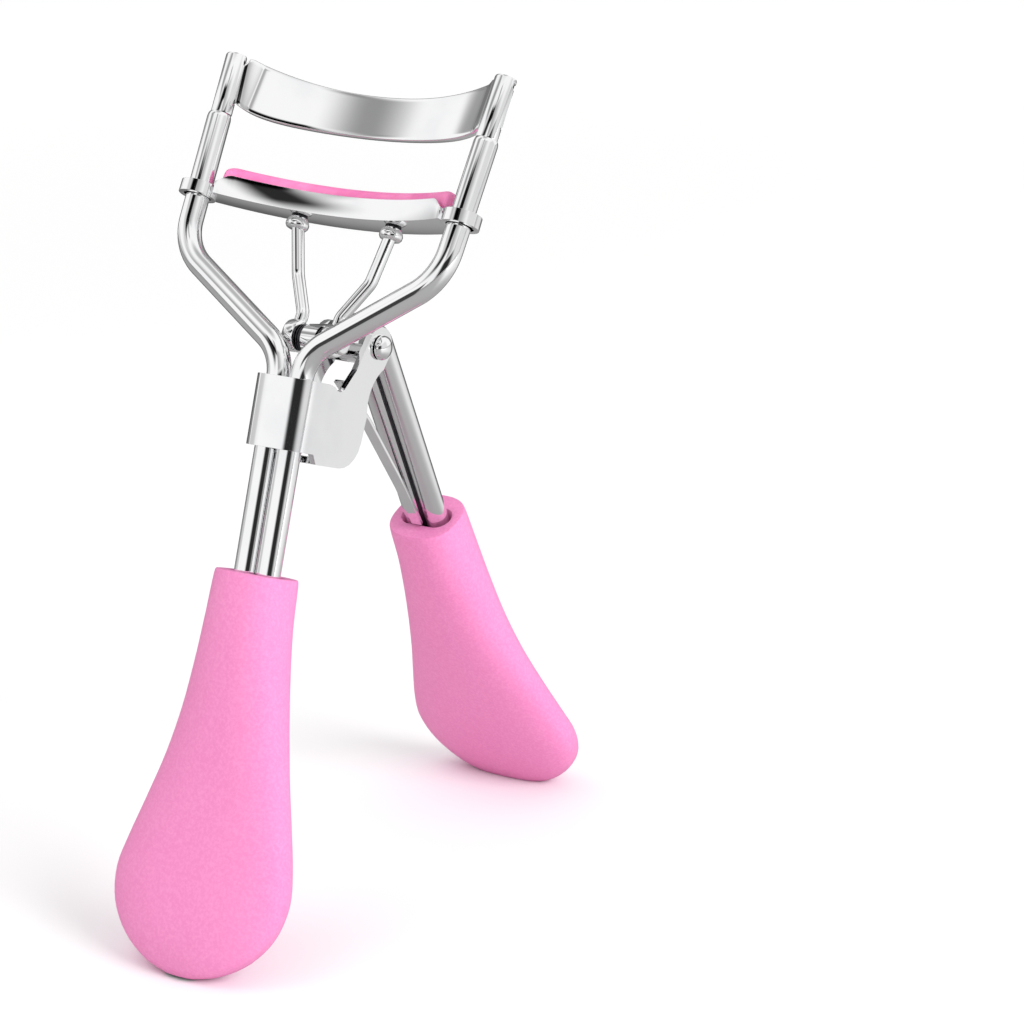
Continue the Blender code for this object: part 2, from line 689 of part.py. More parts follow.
def build():
    """Builds the curler under its empties."""
    clear_scene()
    chrome = material("chrome", (0.80, 0.81, 0.83), 0.08, 1.0)
    dark_steel = material("dark_steel", (0.32, 0.33, 0.35), 0.3, 1.0)
    pink_plastic = material("pink_plastic", (0.93, 0.33, 0.61), 0.5, 0.0)
    pink_silicone = material("pink_silicone", (0.94, 0.33, 0.58), 0.45, 0.0)

    stand = empty("stand_frame", (0, STAND_Y, STAND_Z), LEAN)
    knee = Vector((0, 0, UPPER_KNEE_Z))
    head = empty("head_frame", knee, HEAD_TILT, stand)
    jaw = empty("jaw_slide", knee, HEAD_TILT, stand)
    bpy.context.view_layer.update()
    to_floor = stand.matrix_world.inverted()
    to_head = Matrix.Translation(knee) @ Matrix.Rotation(-HEAD_TILT, 4, "X")

    for side, word in ((-1, "left"), (1, "right")):
        frame_rod(side, f"frame_rod_{word}", chrome, stand, head)
        lever_rod(side, f"lever_rod_{word}", chrome, stand)
        socket(side, f"socket_{word}", chrome, jaw)
        y, _ = arc_point(SOCKET_X)
        top = Vector((side * SOCKET_X, y, PLATE_LOW_Z - FINE_GAP - 0.65 * MM))
        link(side, f"link_{word}", chrome, stand, to_head @ top)
        link_spacer(side, f"link_spacer_{word}", dark_steel, stand)

    upper_plate(chrome, head)
    fulcrum_bracket(chrome, stand)
    fulcrum_rivet(chrome, stand)
    lever_knuckle(chrome, stand)
    link_pin(chrome, stand)
    return_spring(chrome, stand)
    lower_plate(chrome, jaw)
    lash_pad(pink_silicone, jaw)

    down = Vector((0, math.sin(LEVER_ANGLE), -math.cos(LEVER_ANGLE)))
    mouth = LEVER_BEND + down * LEVER_LENGTH
    rear_place = Matrix.Translation(mouth) @ Matrix.Rotation(LEVER_ANGLE, 4, "X") @ Matrix.Rotation(math.pi, 4, "Z")
    grip("front_grip", pink_plastic, stand, Matrix.Identity(4), to_floor)
    grip("rear_grip", pink_plastic, stand, rear_place, to_floor, FULCRUM)


build()
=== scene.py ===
"""Finishes, fine shapes, light and camera for the eyelash curler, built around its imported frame.

The frame's pieces keep their places. Rods, plates, grips and fittings are made again here with
finer shapes, each riding on the body of the piece that it stands for.
"""

import logging
import math
from dataclasses import dataclass
from enum import Enum

import bpy
from mathutils import Matrix, Vector


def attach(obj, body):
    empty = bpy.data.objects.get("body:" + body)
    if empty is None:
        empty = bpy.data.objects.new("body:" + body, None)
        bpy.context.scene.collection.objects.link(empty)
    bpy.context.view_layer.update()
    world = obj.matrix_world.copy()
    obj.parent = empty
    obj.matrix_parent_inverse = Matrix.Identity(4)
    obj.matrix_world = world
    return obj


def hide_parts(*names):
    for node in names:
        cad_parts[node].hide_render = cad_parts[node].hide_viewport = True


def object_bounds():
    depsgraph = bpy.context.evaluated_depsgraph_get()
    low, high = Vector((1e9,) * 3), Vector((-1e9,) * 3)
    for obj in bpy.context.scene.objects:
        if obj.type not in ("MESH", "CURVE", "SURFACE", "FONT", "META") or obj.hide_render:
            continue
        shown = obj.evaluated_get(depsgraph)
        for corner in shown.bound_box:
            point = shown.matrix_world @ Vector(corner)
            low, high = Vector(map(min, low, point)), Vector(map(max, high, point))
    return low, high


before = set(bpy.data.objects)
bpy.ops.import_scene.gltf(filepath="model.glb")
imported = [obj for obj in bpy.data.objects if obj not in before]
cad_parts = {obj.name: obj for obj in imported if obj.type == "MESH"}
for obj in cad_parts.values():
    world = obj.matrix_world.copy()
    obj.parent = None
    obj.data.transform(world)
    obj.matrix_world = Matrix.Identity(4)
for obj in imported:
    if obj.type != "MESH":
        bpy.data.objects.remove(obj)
CAD_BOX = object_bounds()

LOG = logging.getLogger("curler")
MM = 0.001
SPIN_SIGN = -1.0
EAR_OUTER_X = 3.62 * MM
Pairs = list[tuple[float, float]]


# ---------------------------------------------------------------- places


@dataclass(frozen=True)
class Stance:
    """How the curler stands: the front handle leans back and the head a little more."""

    lean: float = math.radians(19.3)
    head_tilt: float = math.radians(12.0)
    knee: float = 32.8 * MM
    y: float = -17.36 * MM
    z: float = 39.45 * MM

    def handle(self) -> Matrix:
        """The handle frame: Z runs up the front handle, Y to the rear lever."""
        return Matrix.Translation((0, self.y, self.z)) @ Matrix.Rotation(-self.lean, 4, "X")

    def head(self) -> Matrix:
        """The head frame: Z runs up the head rods, from their upper knees."""
        tilt = Matrix.Rotation(-self.head_tilt, 4, "X")
        return self.handle() @ Matrix.Translation((0, 0, self.knee)) @ tilt


class Body(Enum):
    """The bodies of the frame that a piece may ride on."""

    FRAME = "frame"
    LEVER = "lever"
    JAW = "jaw"
    LINK_LEFT = "link_l"
    LINK_RIGHT = "link_r"


class Slot(Enum):
    """The material slots of the record."""

    CHROME = "chrome"
    DARK_STEEL = "dark_steel"
    PINK_PLASTIC = "pink_plastic"
    PINK_SILICONE = "pink_silicone"


STANCE = Stance()
HANDLE = STANCE.handle()
HEAD = STANCE.head()


# ---------------------------------------------------------------- shader maths


class Wire:
    """An output socket that takes part in Python sums, each of which adds a Math node."""

    def __init__(self, maker: "Maker", socket: bpy.types.NodeSocket) -> None:
        """Keeps the socket and the maker of the tree that it is in."""
        self.maker = maker
        self.socket = socket

    def _math(self, operation: str, *values: "Wire | float") -> "Wire":
        """Adds one Math node on the values.

        Args:
            operation: The Math node's operation.
            values: Its values, wires or numbers, in order.

        Returns:
            The result as a wire.
        """
        return self.maker.node("ShaderNodeMath", {"operation": operation}, dict(enumerate(values)))

    def __add__(self, other: "Wire | float") -> "Wire":
        """Sum."""
        return self._math("ADD", self, other)

    __radd__ = __add__

    def __sub__(self, other: "Wire | float") -> "Wire":
        """Difference."""
        return self._math("SUBTRACT", self, other)

    def __rsub__(self, other: float) -> "Wire":
        """Reflected difference."""
        return self._math("SUBTRACT", other, self)

    def __mul__(self, other: "Wire | float") -> "Wire":
        """Product."""
        return self._math("MULTIPLY", self, other)

    __rmul__ = __mul__

    def smooth(self, low: float, high: float) -> "Wire":
        """A soft step from 0 at low to 1 at high.

        Args:
            low: The value where the step starts.
            high: The value where it ends.

        Returns:
            The step's height, from 0 to 1.
        """
        settings = {"interpolation_type": "SMOOTHSTEP"}
        return self.maker.node("ShaderNodeMapRange", settings, {0: self, 1: low, 2: high})

    def band(self, start: float, full: float, past: float, end: float) -> "Wire":
        """A soft band: 0 before start, 1 from full to past, 0 after end."""
        return self.smooth(start, full) * (1.0 - self.smooth(past, end))


class Maker:
    """Makes the nodes of one shader tree."""

    def __init__(self, tree: bpy.types.NodeTree) -> None:
        """Keeps the tree."""
        self.tree = tree

    def node(self, kind: str, settings: dict, inputs: dict, output: int | str = 0) -> Wire:
        """Adds one node.

        Args:
            kind: The node's type.
            settings: Its own settings, set first; a list of stops makes its ramp.
            inputs: Values or wires by the socket's name or number.
            output: The output to hand back.

        Returns:
            The chosen output as a wire.
        """
        made = self.tree.nodes.new(kind)
        for name, value in settings.items():
            if name == "stops":
                self._stops(made.color_ramp, value)
            else:
                setattr(made, name, value)
        for name, value in inputs.items():
            if isinstance(value, Wire):
                self.tree.links.new(value.socket, made.inputs[name])
            else:
                made.inputs[name].default_value = value
        return Wire(self, made.outputs[output])

    def split(self, vector: Wire) -> tuple[Wire, Wire, Wire]:
        """A vector's three parts."""
        parts = self.node("ShaderNodeSeparateXYZ", {}, {0: vector}).socket.node
        return tuple(Wire(self, parts.outputs[i]) for i in range(3))

    def turn(self, y: Wire, x: Wire) -> Wire:
        """The turn of a direction about the vertical, in degrees."""
        return self.node("ShaderNodeMath", {"operation": "ARCTAN2"}, {0: y, 1: x}) * (180 / math.pi)

    @staticmethod
    def _stops(ramp: bpy.types.ColorRamp, stops: list[tuple[float, tuple]]) -> None:
        """Gives a colour ramp its stops, each a place and a colour.

        Args:
            ramp: The ramp to fill.
            stops: Each stop's place and colour.
        """
        while len(ramp.elements) < len(stops):
            ramp.elements.new(1.0)
        for element, (place, colour) in zip(ramp.elements, stops):
            element.position = place
            element.color = (*colour, 1)

    def noise(self, scale: float, detail: float = 2.0, stretch: tuple = (1, 1, 1)) -> Wire:
        """Noise over the object, in cells per metre, that may be stretched along an axis.

        Args:
            scale: Cells per metre.
            detail: How many finer layers are added.
            stretch: The scale along each axis.

        Returns:
            The noise, from 0 to 1.
        """
        place = self.node("ShaderNodeTexCoord", {}, {}, "Object")
        spread = self.node("ShaderNodeMapping", {}, {"Vector": place, "Scale": stretch})
        return self.node("ShaderNodeTexNoise", {}, {"Vector": spread, "Scale": scale, "Detail": detail})

    def mix(self, share: Wire, low: tuple, high: tuple) -> Wire:
        """A colour between two, by a share from 0 to 1."""
        stops = [(0.0, low), (1.0, high)]
        return self.node("ShaderNodeValToRGB", {"stops": stops}, {0: share})

    def bump(self, height: Wire, strength: float, distance: float) -> Wire:
        """A Bump node's normal."""
        values = {"Height": height, "Strength": strength, "Distance": distance}
        return self.node("ShaderNodeBump", {}, values, "Normal")


# ---------------------------------------------------------------- finishes


class Finish:
    """A finish that can make its material once and hand it out."""

    name: str = ""
    slot: Slot = Slot.CHROME

    def surface(self, maker: Maker) -> dict:
        """The Principled shader's inputs for this finish."""
        raise NotImplementedError

    def material(self) -> bpy.types.Material:
        """The finish's material, made on first use.

        Returns:
            The material, the same one for every piece of this finish.
        """
        found = bpy.data.materials.get(self.name)
        if found:
            return found
        made = bpy.data.materials.new(self.name)
        made.use_nodes = True
        made.node_tree.nodes.clear()
        maker = Maker(made.node_tree)
        shader = maker.node("ShaderNodeBsdfPrincipled", {}, self.surface(maker))
        self.output(maker, shader)
        return made

    @staticmethod
    def output(maker: Maker, shader: Wire) -> None:
        """Joins the shader to the material's output."""
        output = maker.tree.nodes.new("ShaderNodeOutputMaterial")
        maker.tree.links.new(shader.socket, output.inputs["Surface"])


@dataclass(frozen=True)
class PolishedChrome(Finish):
    """Bright plated steel with faint wipe marks and the last of the polishing grain."""

    name: str = "polished_chrome"
    slot: Slot = Slot.CHROME
    bright: tuple = (0.93, 0.93, 0.935)
    dull: tuple = (0.86, 0.865, 0.875)
    smooth: float = 0.03
    hazy: float = 0.085
    haze_scale: float = 130.0
    grain_scale: float = 5200.0

    def surface(self, maker: Maker) -> dict:
        """Plating whose haze and grain vary softly over the piece.

        Args:
            maker: The maker of the material's tree.

        Returns:
            Inputs for the Principled shader.
        """
        haze = maker.noise(self.haze_scale, 3.0).smooth(0.45, 0.75)
        grain = maker.noise(self.grain_scale, 2.0, (1, 1, 0.15))
        return {
            "Base Color": maker.mix(haze, self.bright, self.dull),
            "Metallic": 1.0,
            "Roughness": haze * (self.hazy - self.smooth) + self.smooth,
            "Normal": maker.bump(grain, 0.02, 0.00001),
        }


@dataclass(frozen=True)
class DarkSteel(Finish):
    """Oiled dark steel, as on the spacer rings."""

    name: str = "dark_steel_finish"
    slot: Slot = Slot.DARK_STEEL
    light: tuple = (0.10, 0.10, 0.11)
    deep: tuple = (0.03, 0.03, 0.035)

    def surface(self, maker: Maker) -> dict:
        """Dark plating with turned rings of slightly lighter metal.

        Args:
            maker: The maker of the material's tree.

        Returns:
            Inputs for the Principled shader.
        """
        cloud = maker.noise(900.0, 3.0)
        return {
            "Base Color": maker.mix(cloud, self.deep, self.light),
            "Metallic": 1.0,
            "Roughness": cloud * 0.2 + 0.22,
            "Normal": maker.bump(maker.noise(6000.0, 2.0), 0.1, 0.00003),
        }


@dataclass(frozen=True)
class SatinPlastic(Finish):
    """The grips: moulded pink plastic with a fine sparkle of grain under a satin skin."""

    name: str = "satin_pink_plastic"
    slot: Slot = Slot.PINK_PLASTIC
    deep: tuple = (0.79, 0.212, 0.475)
    mid: tuple = (0.825, 0.246, 0.512)
    pale: tuple = (0.865, 0.286, 0.552)
    cloud_scale: float = 110.0
    grain_scale: float = 3400.0

    def surface(self, maker: Maker) -> dict:
        """Colour that drifts slowly over the grip, with speckles as fine as dust.

        Args:
            maker: The maker of the material's tree.

        Returns:
            Inputs for the Principled shader.
        """
        cloud = maker.noise(self.cloud_scale, 2.0)
        grain = maker.noise(self.grain_scale, 3.0)
        share = cloud * 0.35 + grain.smooth(0.35, 0.68) * 0.65
        stops = [(0.0, self.deep), (0.5, self.mid), (1.0, self.pale)]
        colour = maker.node("ShaderNodeValToRGB", {"stops": stops}, {0: share})
        return {
            "Base Color": colour,
            "Roughness": grain * 0.14 + 0.40,
            "Specular IOR Level": 0.5,
            "Coat Roughness": 0.35,
            "Coat Weight": cloud * 0.10 + 0.10,
            "Normal": maker.bump(grain, 0.22, 0.00006),
        }


@dataclass(frozen=True)
class SoftSilicone(Finish):
    """The pad: soft pink silicone with a dry, slightly cloudy skin."""

    name: str = "soft_pink_silicone"
    slot: Slot = Slot.PINK_SILICONE
    deep: tuple = (0.84, 0.19, 0.45)
    pale: tuple = (0.94, 0.27, 0.54)

    def surface(self, maker: Maker) -> dict:
        """Silicone that gathers a little dust-pale bloom.

        Args:
            maker: The maker of the material's tree.

        Returns:
            Inputs for the Principled shader.
        """
        bloom = maker.noise(420.0, 3.0)
        return {
            "Base Color": maker.mix(bloom.smooth(0.3, 0.7), self.deep, self.pale),
            "Roughness": bloom * 0.15 + 0.42,
            "Subsurface Weight": 0.12,
            "Subsurface Scale": 0.001,
            "Normal": maker.bump(maker.noise(2600.0, 2.0), 0.12, 0.00005),
        }


CHROME = PolishedChrome()
DARK = DarkSteel()
PLASTIC = SatinPlastic()
SILICONE = SoftSilicone()


# ---------------------------------------------------------------- bench


class Blank:
    """A piece on the bench: a mesh shaped with edit-mode tools from one round or oblong face."""

    def __init__(self, name: str, sides: int, radius: float, centre: Vector, along: Vector) -> None:
        """Starts the piece from a filled circle that faces along a direction.

        Args:
            name: The piece's name.
            sides: Points round the first face.
            radius: Its radius.
            centre: Its middle.
            along: The direction that it faces.
        """
        put_down()
        turn = along.to_track_quat("Z", "Y").to_euler()
        bpy.ops.mesh.primitive_circle_add(
            vertices=sides, radius=radius, fill_type="NGON", location=centre, rotation=turn
        )
        self.obj = bpy.context.object
        self.obj.name = name
        self.obj.data.name = name
        bpy.ops.object.transform_apply(location=True, rotation=True, scale=True)
        self.end = Vector(centre)
        self.along = Vector(along).normalized()
        bpy.ops.object.mode_set(mode="EDIT")
        bpy.ops.mesh.select_mode(type="FACE")
        bpy.ops.mesh.select_all(action="SELECT")

    def extrude(self, move: Vector) -> "Blank":
        """Pulls the end face along a vector.

        Args:
            move: How far and where the end face goes.

        Returns:
            The blank itself.
        """
        bpy.ops.mesh.extrude_region_move(TRANSFORM_OT_translate={"value": move})
        self.end = self.end + move
        return self

    def scale(self, share: float | tuple) -> "Blank":
        """Scales the end face about its middle.

        Args:
            share: The scale, one number or one for each axis.

        Returns:
            The blank itself.
        """
        value = share if isinstance(share, tuple) else (share, share, share)
        bpy.ops.transform.resize(value=value, center_override=self.end)
        return self

    def step(self, distance: float, share: float) -> "Blank":
        """Pulls the end face along its own direction, then scales it."""
        return self.extrude(self.along * distance).scale(share)

    def bend(self, centre: Vector, axis: Vector, angle: float, steps: int) -> "Blank":
        """Swings the end face round an axis and leaves a bend behind it.

        Args:
            centre: A point on the axis.
            axis: The axis of the bend.
            angle: How far it turns, in radians.
            steps: Faces along the bend.

        Returns:
            The blank itself.
        """
        bpy.ops.mesh.spin(steps=steps, angle=SPIN_SIGN * angle, center=centre, axis=axis)
        turn = Matrix.Rotation(angle, 4, axis)
        self.end = centre + turn @ (self.end - centre)
        self.along = turn.to_3x3() @ self.along
        return self

    def done(self, place: Matrix | None = None, sharp: float = 35.0) -> bpy.types.Object:
        """Closes the piece and puts it in place.

        Args:
            place: Where the drawing frame stands in the row frame.
            sharp: Edges steeper than this many degrees stay crisp.

        Returns:
            The finished mesh object.
        """
        bpy.ops.mesh.select_all(action="SELECT")
        bpy.ops.mesh.remove_doubles(threshold=0.00001)
        bpy.ops.mesh.normals_make_consistent(inside=False)
        bpy.ops.object.mode_set(mode="OBJECT")
        if place is not None:
            self.obj.data.transform(place)
        soften(self.obj, sharp)
        return self.obj


def put_down() -> None:
    """Leaves edit mode and deselects everything."""
    if bpy.context.object is not None and bpy.context.object.mode != "OBJECT":
        bpy.ops.object.mode_set(mode="OBJECT")
    bpy.ops.object.select_all(action="DESELECT")


def pick_up(obj: bpy.types.Object) -> None:
    """Makes one object the selected and active one.

    Args:
        obj: The object to select.
    """
    put_down()
    obj.select_set(True)
    bpy.context.view_layer.objects.active = obj


def soften(obj: bpy.types.Object, sharp: float) -> None:
    """Smooth shading with crisp edges above an angle in degrees."""
    pick_up(obj)
    bpy.ops.object.shade_smooth_by_angle(angle=math.radians(sharp))


def apply_modifier(obj: bpy.types.Object, kind: str, **settings: object) -> None:
    """Adds a modifier, sets it and applies it.

    Args:
        obj: The piece.
        kind: The modifier's type.
        settings: Its settings by name.
    """
    pick_up(obj)
    made = obj.modifiers.new(kind.lower(), kind)
    for name, value in settings.items():
        setattr(made, name, value)
    bpy.ops.object.modifier_apply(modifier=made.name)


def join(pieces: list[bpy.types.Object], name: str) -> bpy.types.Object:
    """Joins pieces into the first by exact union.

    Args:
        pieces: The pieces, which are used up.
        name: The joined piece's name.

    Returns:
        The joined piece.
    """
    first = pieces[0]
    for other in pieces[1:]:
        apply_modifier(first, "BOOLEAN", operation="UNION", solver="EXACT", object=other)
        bpy.data.objects.remove(other)
    first.name = name
    first.data.name = name
    return first


def cut(target: bpy.types.Object, tool: bpy.types.Object) -> None:
    """Cuts a tool away from the target and throws the tool away.

    Args:
        target: The piece that stays.
        tool: The piece that is cut away.
    """
    apply_modifier(target, "BOOLEAN", operation="DIFFERENCE", solver="EXACT", object=tool)
    bpy.data.objects.remove(tool)


def break_edges(obj: bpy.types.Object, width: float, segments: int = 2, sharp: float = 40.0) -> None:
    """Rounds off the crisp edges of a finished piece.

    Args:
        obj: The piece.
        width: The bevel's width.
        segments: Faces across it.
        sharp: Edges steeper than this many degrees are rounded.
    """
    apply_modifier(
        obj, "BEVEL", width=width, segments=segments, limit_method="ANGLE", angle_limit=math.radians(sharp)
    )
    soften(obj, 60.0)


def copy_of(node: str, name: str) -> bpy.types.Object:
    """A copy of a frame node's mesh, with its doubled points merged and its flat faces whole.

    Args:
        node: The frame's node.
        name: The copy's name.

    Returns:
        The copy, as a new object.
    """
    made = bpy.data.objects.new(name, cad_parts[node].data.copy())
    bpy.context.collection.objects.link(made)
    pick_up(made)
    bpy.ops.object.mode_set(mode="EDIT")
    bpy.ops.mesh.select_all(action="SELECT")
    bpy.ops.mesh.remove_doubles(threshold=0.000002)
    bpy.ops.mesh.dissolve_limited(angle_limit=math.radians(0.5))
    bpy.ops.object.mode_set(mode="OBJECT")
    made.data.name = name
    return made


def fit(obj: bpy.types.Object, body: Body, finish: Finish, *nodes: str) -> bpy.types.Object:
    """Gives a finished piece its finish and its body, and hides the frame nodes that it stands for.

    Args:
        obj: The finished piece.
        body: The body that it rides on.
        finish: Its finish.
        nodes: The frame's nodes that it stands for.

    Returns:
        The same piece.
    """
    obj.data.materials.clear()
    obj.data.materials.append(finish.material())
    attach(obj, body.value)
    if nodes:
        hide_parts(*nodes)
    LOG.info("%s: %d faces on %s", obj.name, len(obj.data.polygons), body.value)
    return obj


def bent_rod(name: str, corners: list[Vector], bends: list[float], radius: float, sides: int = 48) -> Blank:
    """A round bar through corners, each turned on an arc.

    Args:
        name: The piece's name.
        corners: The points where the straight runs would meet.
        bends: The radius of each bend.
        radius: The bar's radius.
        sides: Points round the bar.

    Returns:
        The bar on the bench, its end face selected.
    """
    first = (corners[1] - corners[0]).normalized()
    blank = Blank(name, sides, radius, corners[0], first)
    for before, corner, after, bend in zip(corners, corners[1:], corners[2:], bends):
        into = (corner - before).normalized()
        out = (after - corner).normalized()
        turn = into.angle(out)
        reach = bend * math.tan(turn / 2)
        blank.extrude(corner - into * reach - blank.end)
        centre = corner + (out - into).normalized() * (bend / math.cos(turn / 2))
        blank.bend(centre, into.cross(out).normalized(), turn, max(8, round(math.degrees(turn) / 4)))
    blank.extrude(corners[-1] - blank.end)
    return blank


def turned(name: str, centre: Vector, along: Vector, profile: Pairs, sides: int = 48) -> Blank:
    """A turned piece from (distance along, radius) pairs, on the bench.

    Args:
        name: The piece's name.
        centre: Where distances are measured from.
        along: The axis.
        profile: Each step's distance along and radius.
        sides: Points round the piece.

    Returns:
        The piece on the bench, its end face selected.
    """
    along = along.normalized()
    start, radius = profile[0]
    blank = Blank(name, sides, radius, centre + along * start, along)
    for distance, wide in profile[1:]:
        blank.extrude(along * (distance - start))
        blank.scale(wide / radius)
        start, radius = distance, wide
    return blank


# ---------------------------------------------------------------- frame rods


@dataclass
class FrameRods:
    """The two bars of the frame, each from the front grip to its pinched tip."""

    radius: float = 1.3 * MM
    spacing: float = 1.42 * MM
    sink: float = 13.0 * MM
    lower_knee: float = 23.2 * MM
    lower_bend: float = 5.0 * MM
    upper_bend: float = 6.0 * MM
    knee_span: float = 16.5 * MM
    tip_span: float = 17.4 * MM
    height: float = 22.2 * MM
    shoulder: float = 15.3 * MM
    slot_low: float = 16.75 * MM
    slot_high: float = 21.45 * MM
    slot_y: float = 0.45 * MM

    def tip(self, side: int) -> Vector:
        """The rod's far end, in the handle frame.

        Args:
            side: -1 for left, 1 for right.

        Returns:
            The middle of the rod's end face.
        """
        rise = Vector((0, self.height * math.sin(STANCE.head_tilt), self.height * math.cos(STANCE.head_tilt)))
        return Vector((side * self.tip_span, 0, STANCE.knee)) + rise

    def rod(self, side: int, name: str) -> bpy.types.Object:
        """One rod with a pinched tip above a rounded shoulder.

        Args:
            side: -1 for left, 1 for right.
            name: The piece's name.

        Returns:
            The rod, in place.
        """
        knee = Vector((side * self.knee_span, 0, STANCE.knee))
        along = (self.tip(side) - knee).normalized()
        corners = [
            Vector((side * self.spacing, 0, -self.sink)),
            Vector((side * self.spacing, 0, self.lower_knee)),
            knee,
            knee + along * (self.shoulder - 0.5 * MM),
        ]
        blank = bent_rod(name, corners, [self.lower_bend, self.upper_bend], self.radius)
        blank.step(0.25 * MM, 0.97).step(0.2 * MM, 0.93).step(0.05 * MM, 0.9)
        inward = Vector((-side * 0.12 * MM, 0, 0))
        blank.extrude(inward).scale((1.09, 1.02, 1.0))
        top = self.height - self.shoulder - 0.25 * MM
        blank.extrude(along * 0.12 * MM).scale((1.04, 1.02, 1.0))
        blank.extrude(along * (top - 0.12 * MM)).step(0.17 * MM, 0.93).step(0.06 * MM, 0.8)
        return blank.done(HANDLE, 30)

    def slot_tool(self, side: int) -> bpy.types.Object:
        """The cutter of a tip's slot, with a wider notch at each end.

        Args:
            side: -1 for left, 1 for right.

        Returns:
            The cutter, in place.
        """
        middle = (self.slot_low + self.slot_high) / 2
        tools = []
        sizes = (
            (0.62 * MM, self.slot_high - self.slot_low, middle),
            (0.95 * MM, 0.55 * MM, self.slot_high - 0.1 * MM),
            (0.85 * MM, 0.45 * MM, self.slot_low + 0.1 * MM),
        )
        for deep, tall, height in sizes:
            put_down()
            bpy.ops.mesh.primitive_cube_add(size=1, location=(side * self.tip_span, self.slot_y, height))
            tool = bpy.context.object
            tool.scale = (6 * MM, deep, tall)
            bpy.ops.object.transform_apply(location=True, rotation=True, scale=True)
            tools.append(tool)
        tool = join(tools, f"slot_tool_{side}")
        tool.data.transform(HEAD)
        return tool

    def facet_tool(self, side: int) -> bpy.types.Object:
        """The cutter of the flat on a tip's outer side.

        Args:
            side: -1 for left, 1 for right.

        Returns:
            The cutter, in place.
        """
        put_down()
        place = (side * (self.tip_span + 2.6 * MM), 0, self.shoulder + 5.4 * MM)
        bpy.ops.mesh.primitive_cube_add(size=1, location=place)
        tool = bpy.context.object
        tool.scale = (3.2 * MM, 6 * MM, 9 * MM)
        bpy.ops.object.transform_apply(location=True, rotation=True, scale=True)
        tool.data.transform(HEAD)
        return tool

    def build(self) -> None:
        """Builds and dresses both rods."""
        for side, word in ((-1, "left"), (1, "right")):
            rod = self.rod(side, f"bar_{word}")
            cut(rod, self.facet_tool(side))
            cut(rod, self.slot_tool(side))
            break_edges(rod, 0.05 * MM, 2, 32.0)
            fit(rod, Body.FRAME, CHROME, f"frame_rod_{word}")


# ---------------------------------------------------------------- plates


@dataclass
class PlateArc:
    """The arc, in the head frame, that the plates and the pad follow."""

    radius: float = 34.0 * MM
    back: float = 4.73 * MM

    def centre(self) -> Vector:
        """The arc's centre."""
        return Vector((0, self.back - self.radius, 0))

    def point(self, x: float) -> Vector:
        """The arc's point at x."""
        return Vector((x, self.back - self.radius + math.sqrt(self.radius**2 - x**2), 0))

    def swept(self, name: str, half_chord: float, section: Pairs, steps: int) -> bpy.types.Object:
        """A section of (offset, height) pairs swept along the arc, left on the bench in object mode.

        Args:
            name: The piece's name.
            half_chord: How far it reaches to each side.
            section: The section's points, in order round it.
            steps: Faces along the arc.

        Returns:
            The closed strip, in the head frame.
        """
        limit = math.asin(half_chord / self.radius)
        start = self.point(-half_chord)
        outward = (start - self.centre()).normalized()
        mesh = bpy.data.meshes.new(name)
        points = [start + outward * off + Vector((0, 0, up)) for off, up in section]
        mesh.from_pydata(points, [], [list(range(len(points)))])
        made = bpy.data.objects.new(name, mesh)
        bpy.context.collection.objects.link(made)
        pick_up(made)
        bpy.ops.object.mode_set(mode="EDIT")
        bpy.ops.mesh.select_mode(type="FACE")
        bpy.ops.mesh.select_all(action="SELECT")
        bpy.ops.mesh.spin(steps=steps, angle=SPIN_SIGN * -2 * limit, center=self.centre(), axis=(0, 0, 1))
        bpy.ops.mesh.select_all(action="SELECT")
        bpy.ops.mesh.remove_doubles(threshold=0.000005)
        bpy.ops.mesh.normals_make_consistent(inside=False)
        bpy.ops.object.mode_set(mode="OBJECT")
        return made


ARC = PlateArc()


def ease(low: float, high: float, value: float) -> float:
    """A soft step from 0 at low to 1 at high.

    Args:
        low: The value where the step starts.
        high: The value where it ends.
        value: The value to ease.

    Returns:
        The step's height, from 0 to 1.
    """
    part = min(max((value - low) / (high - low), 0.0), 1.0)
    return part * part * (3 - 2 * part)


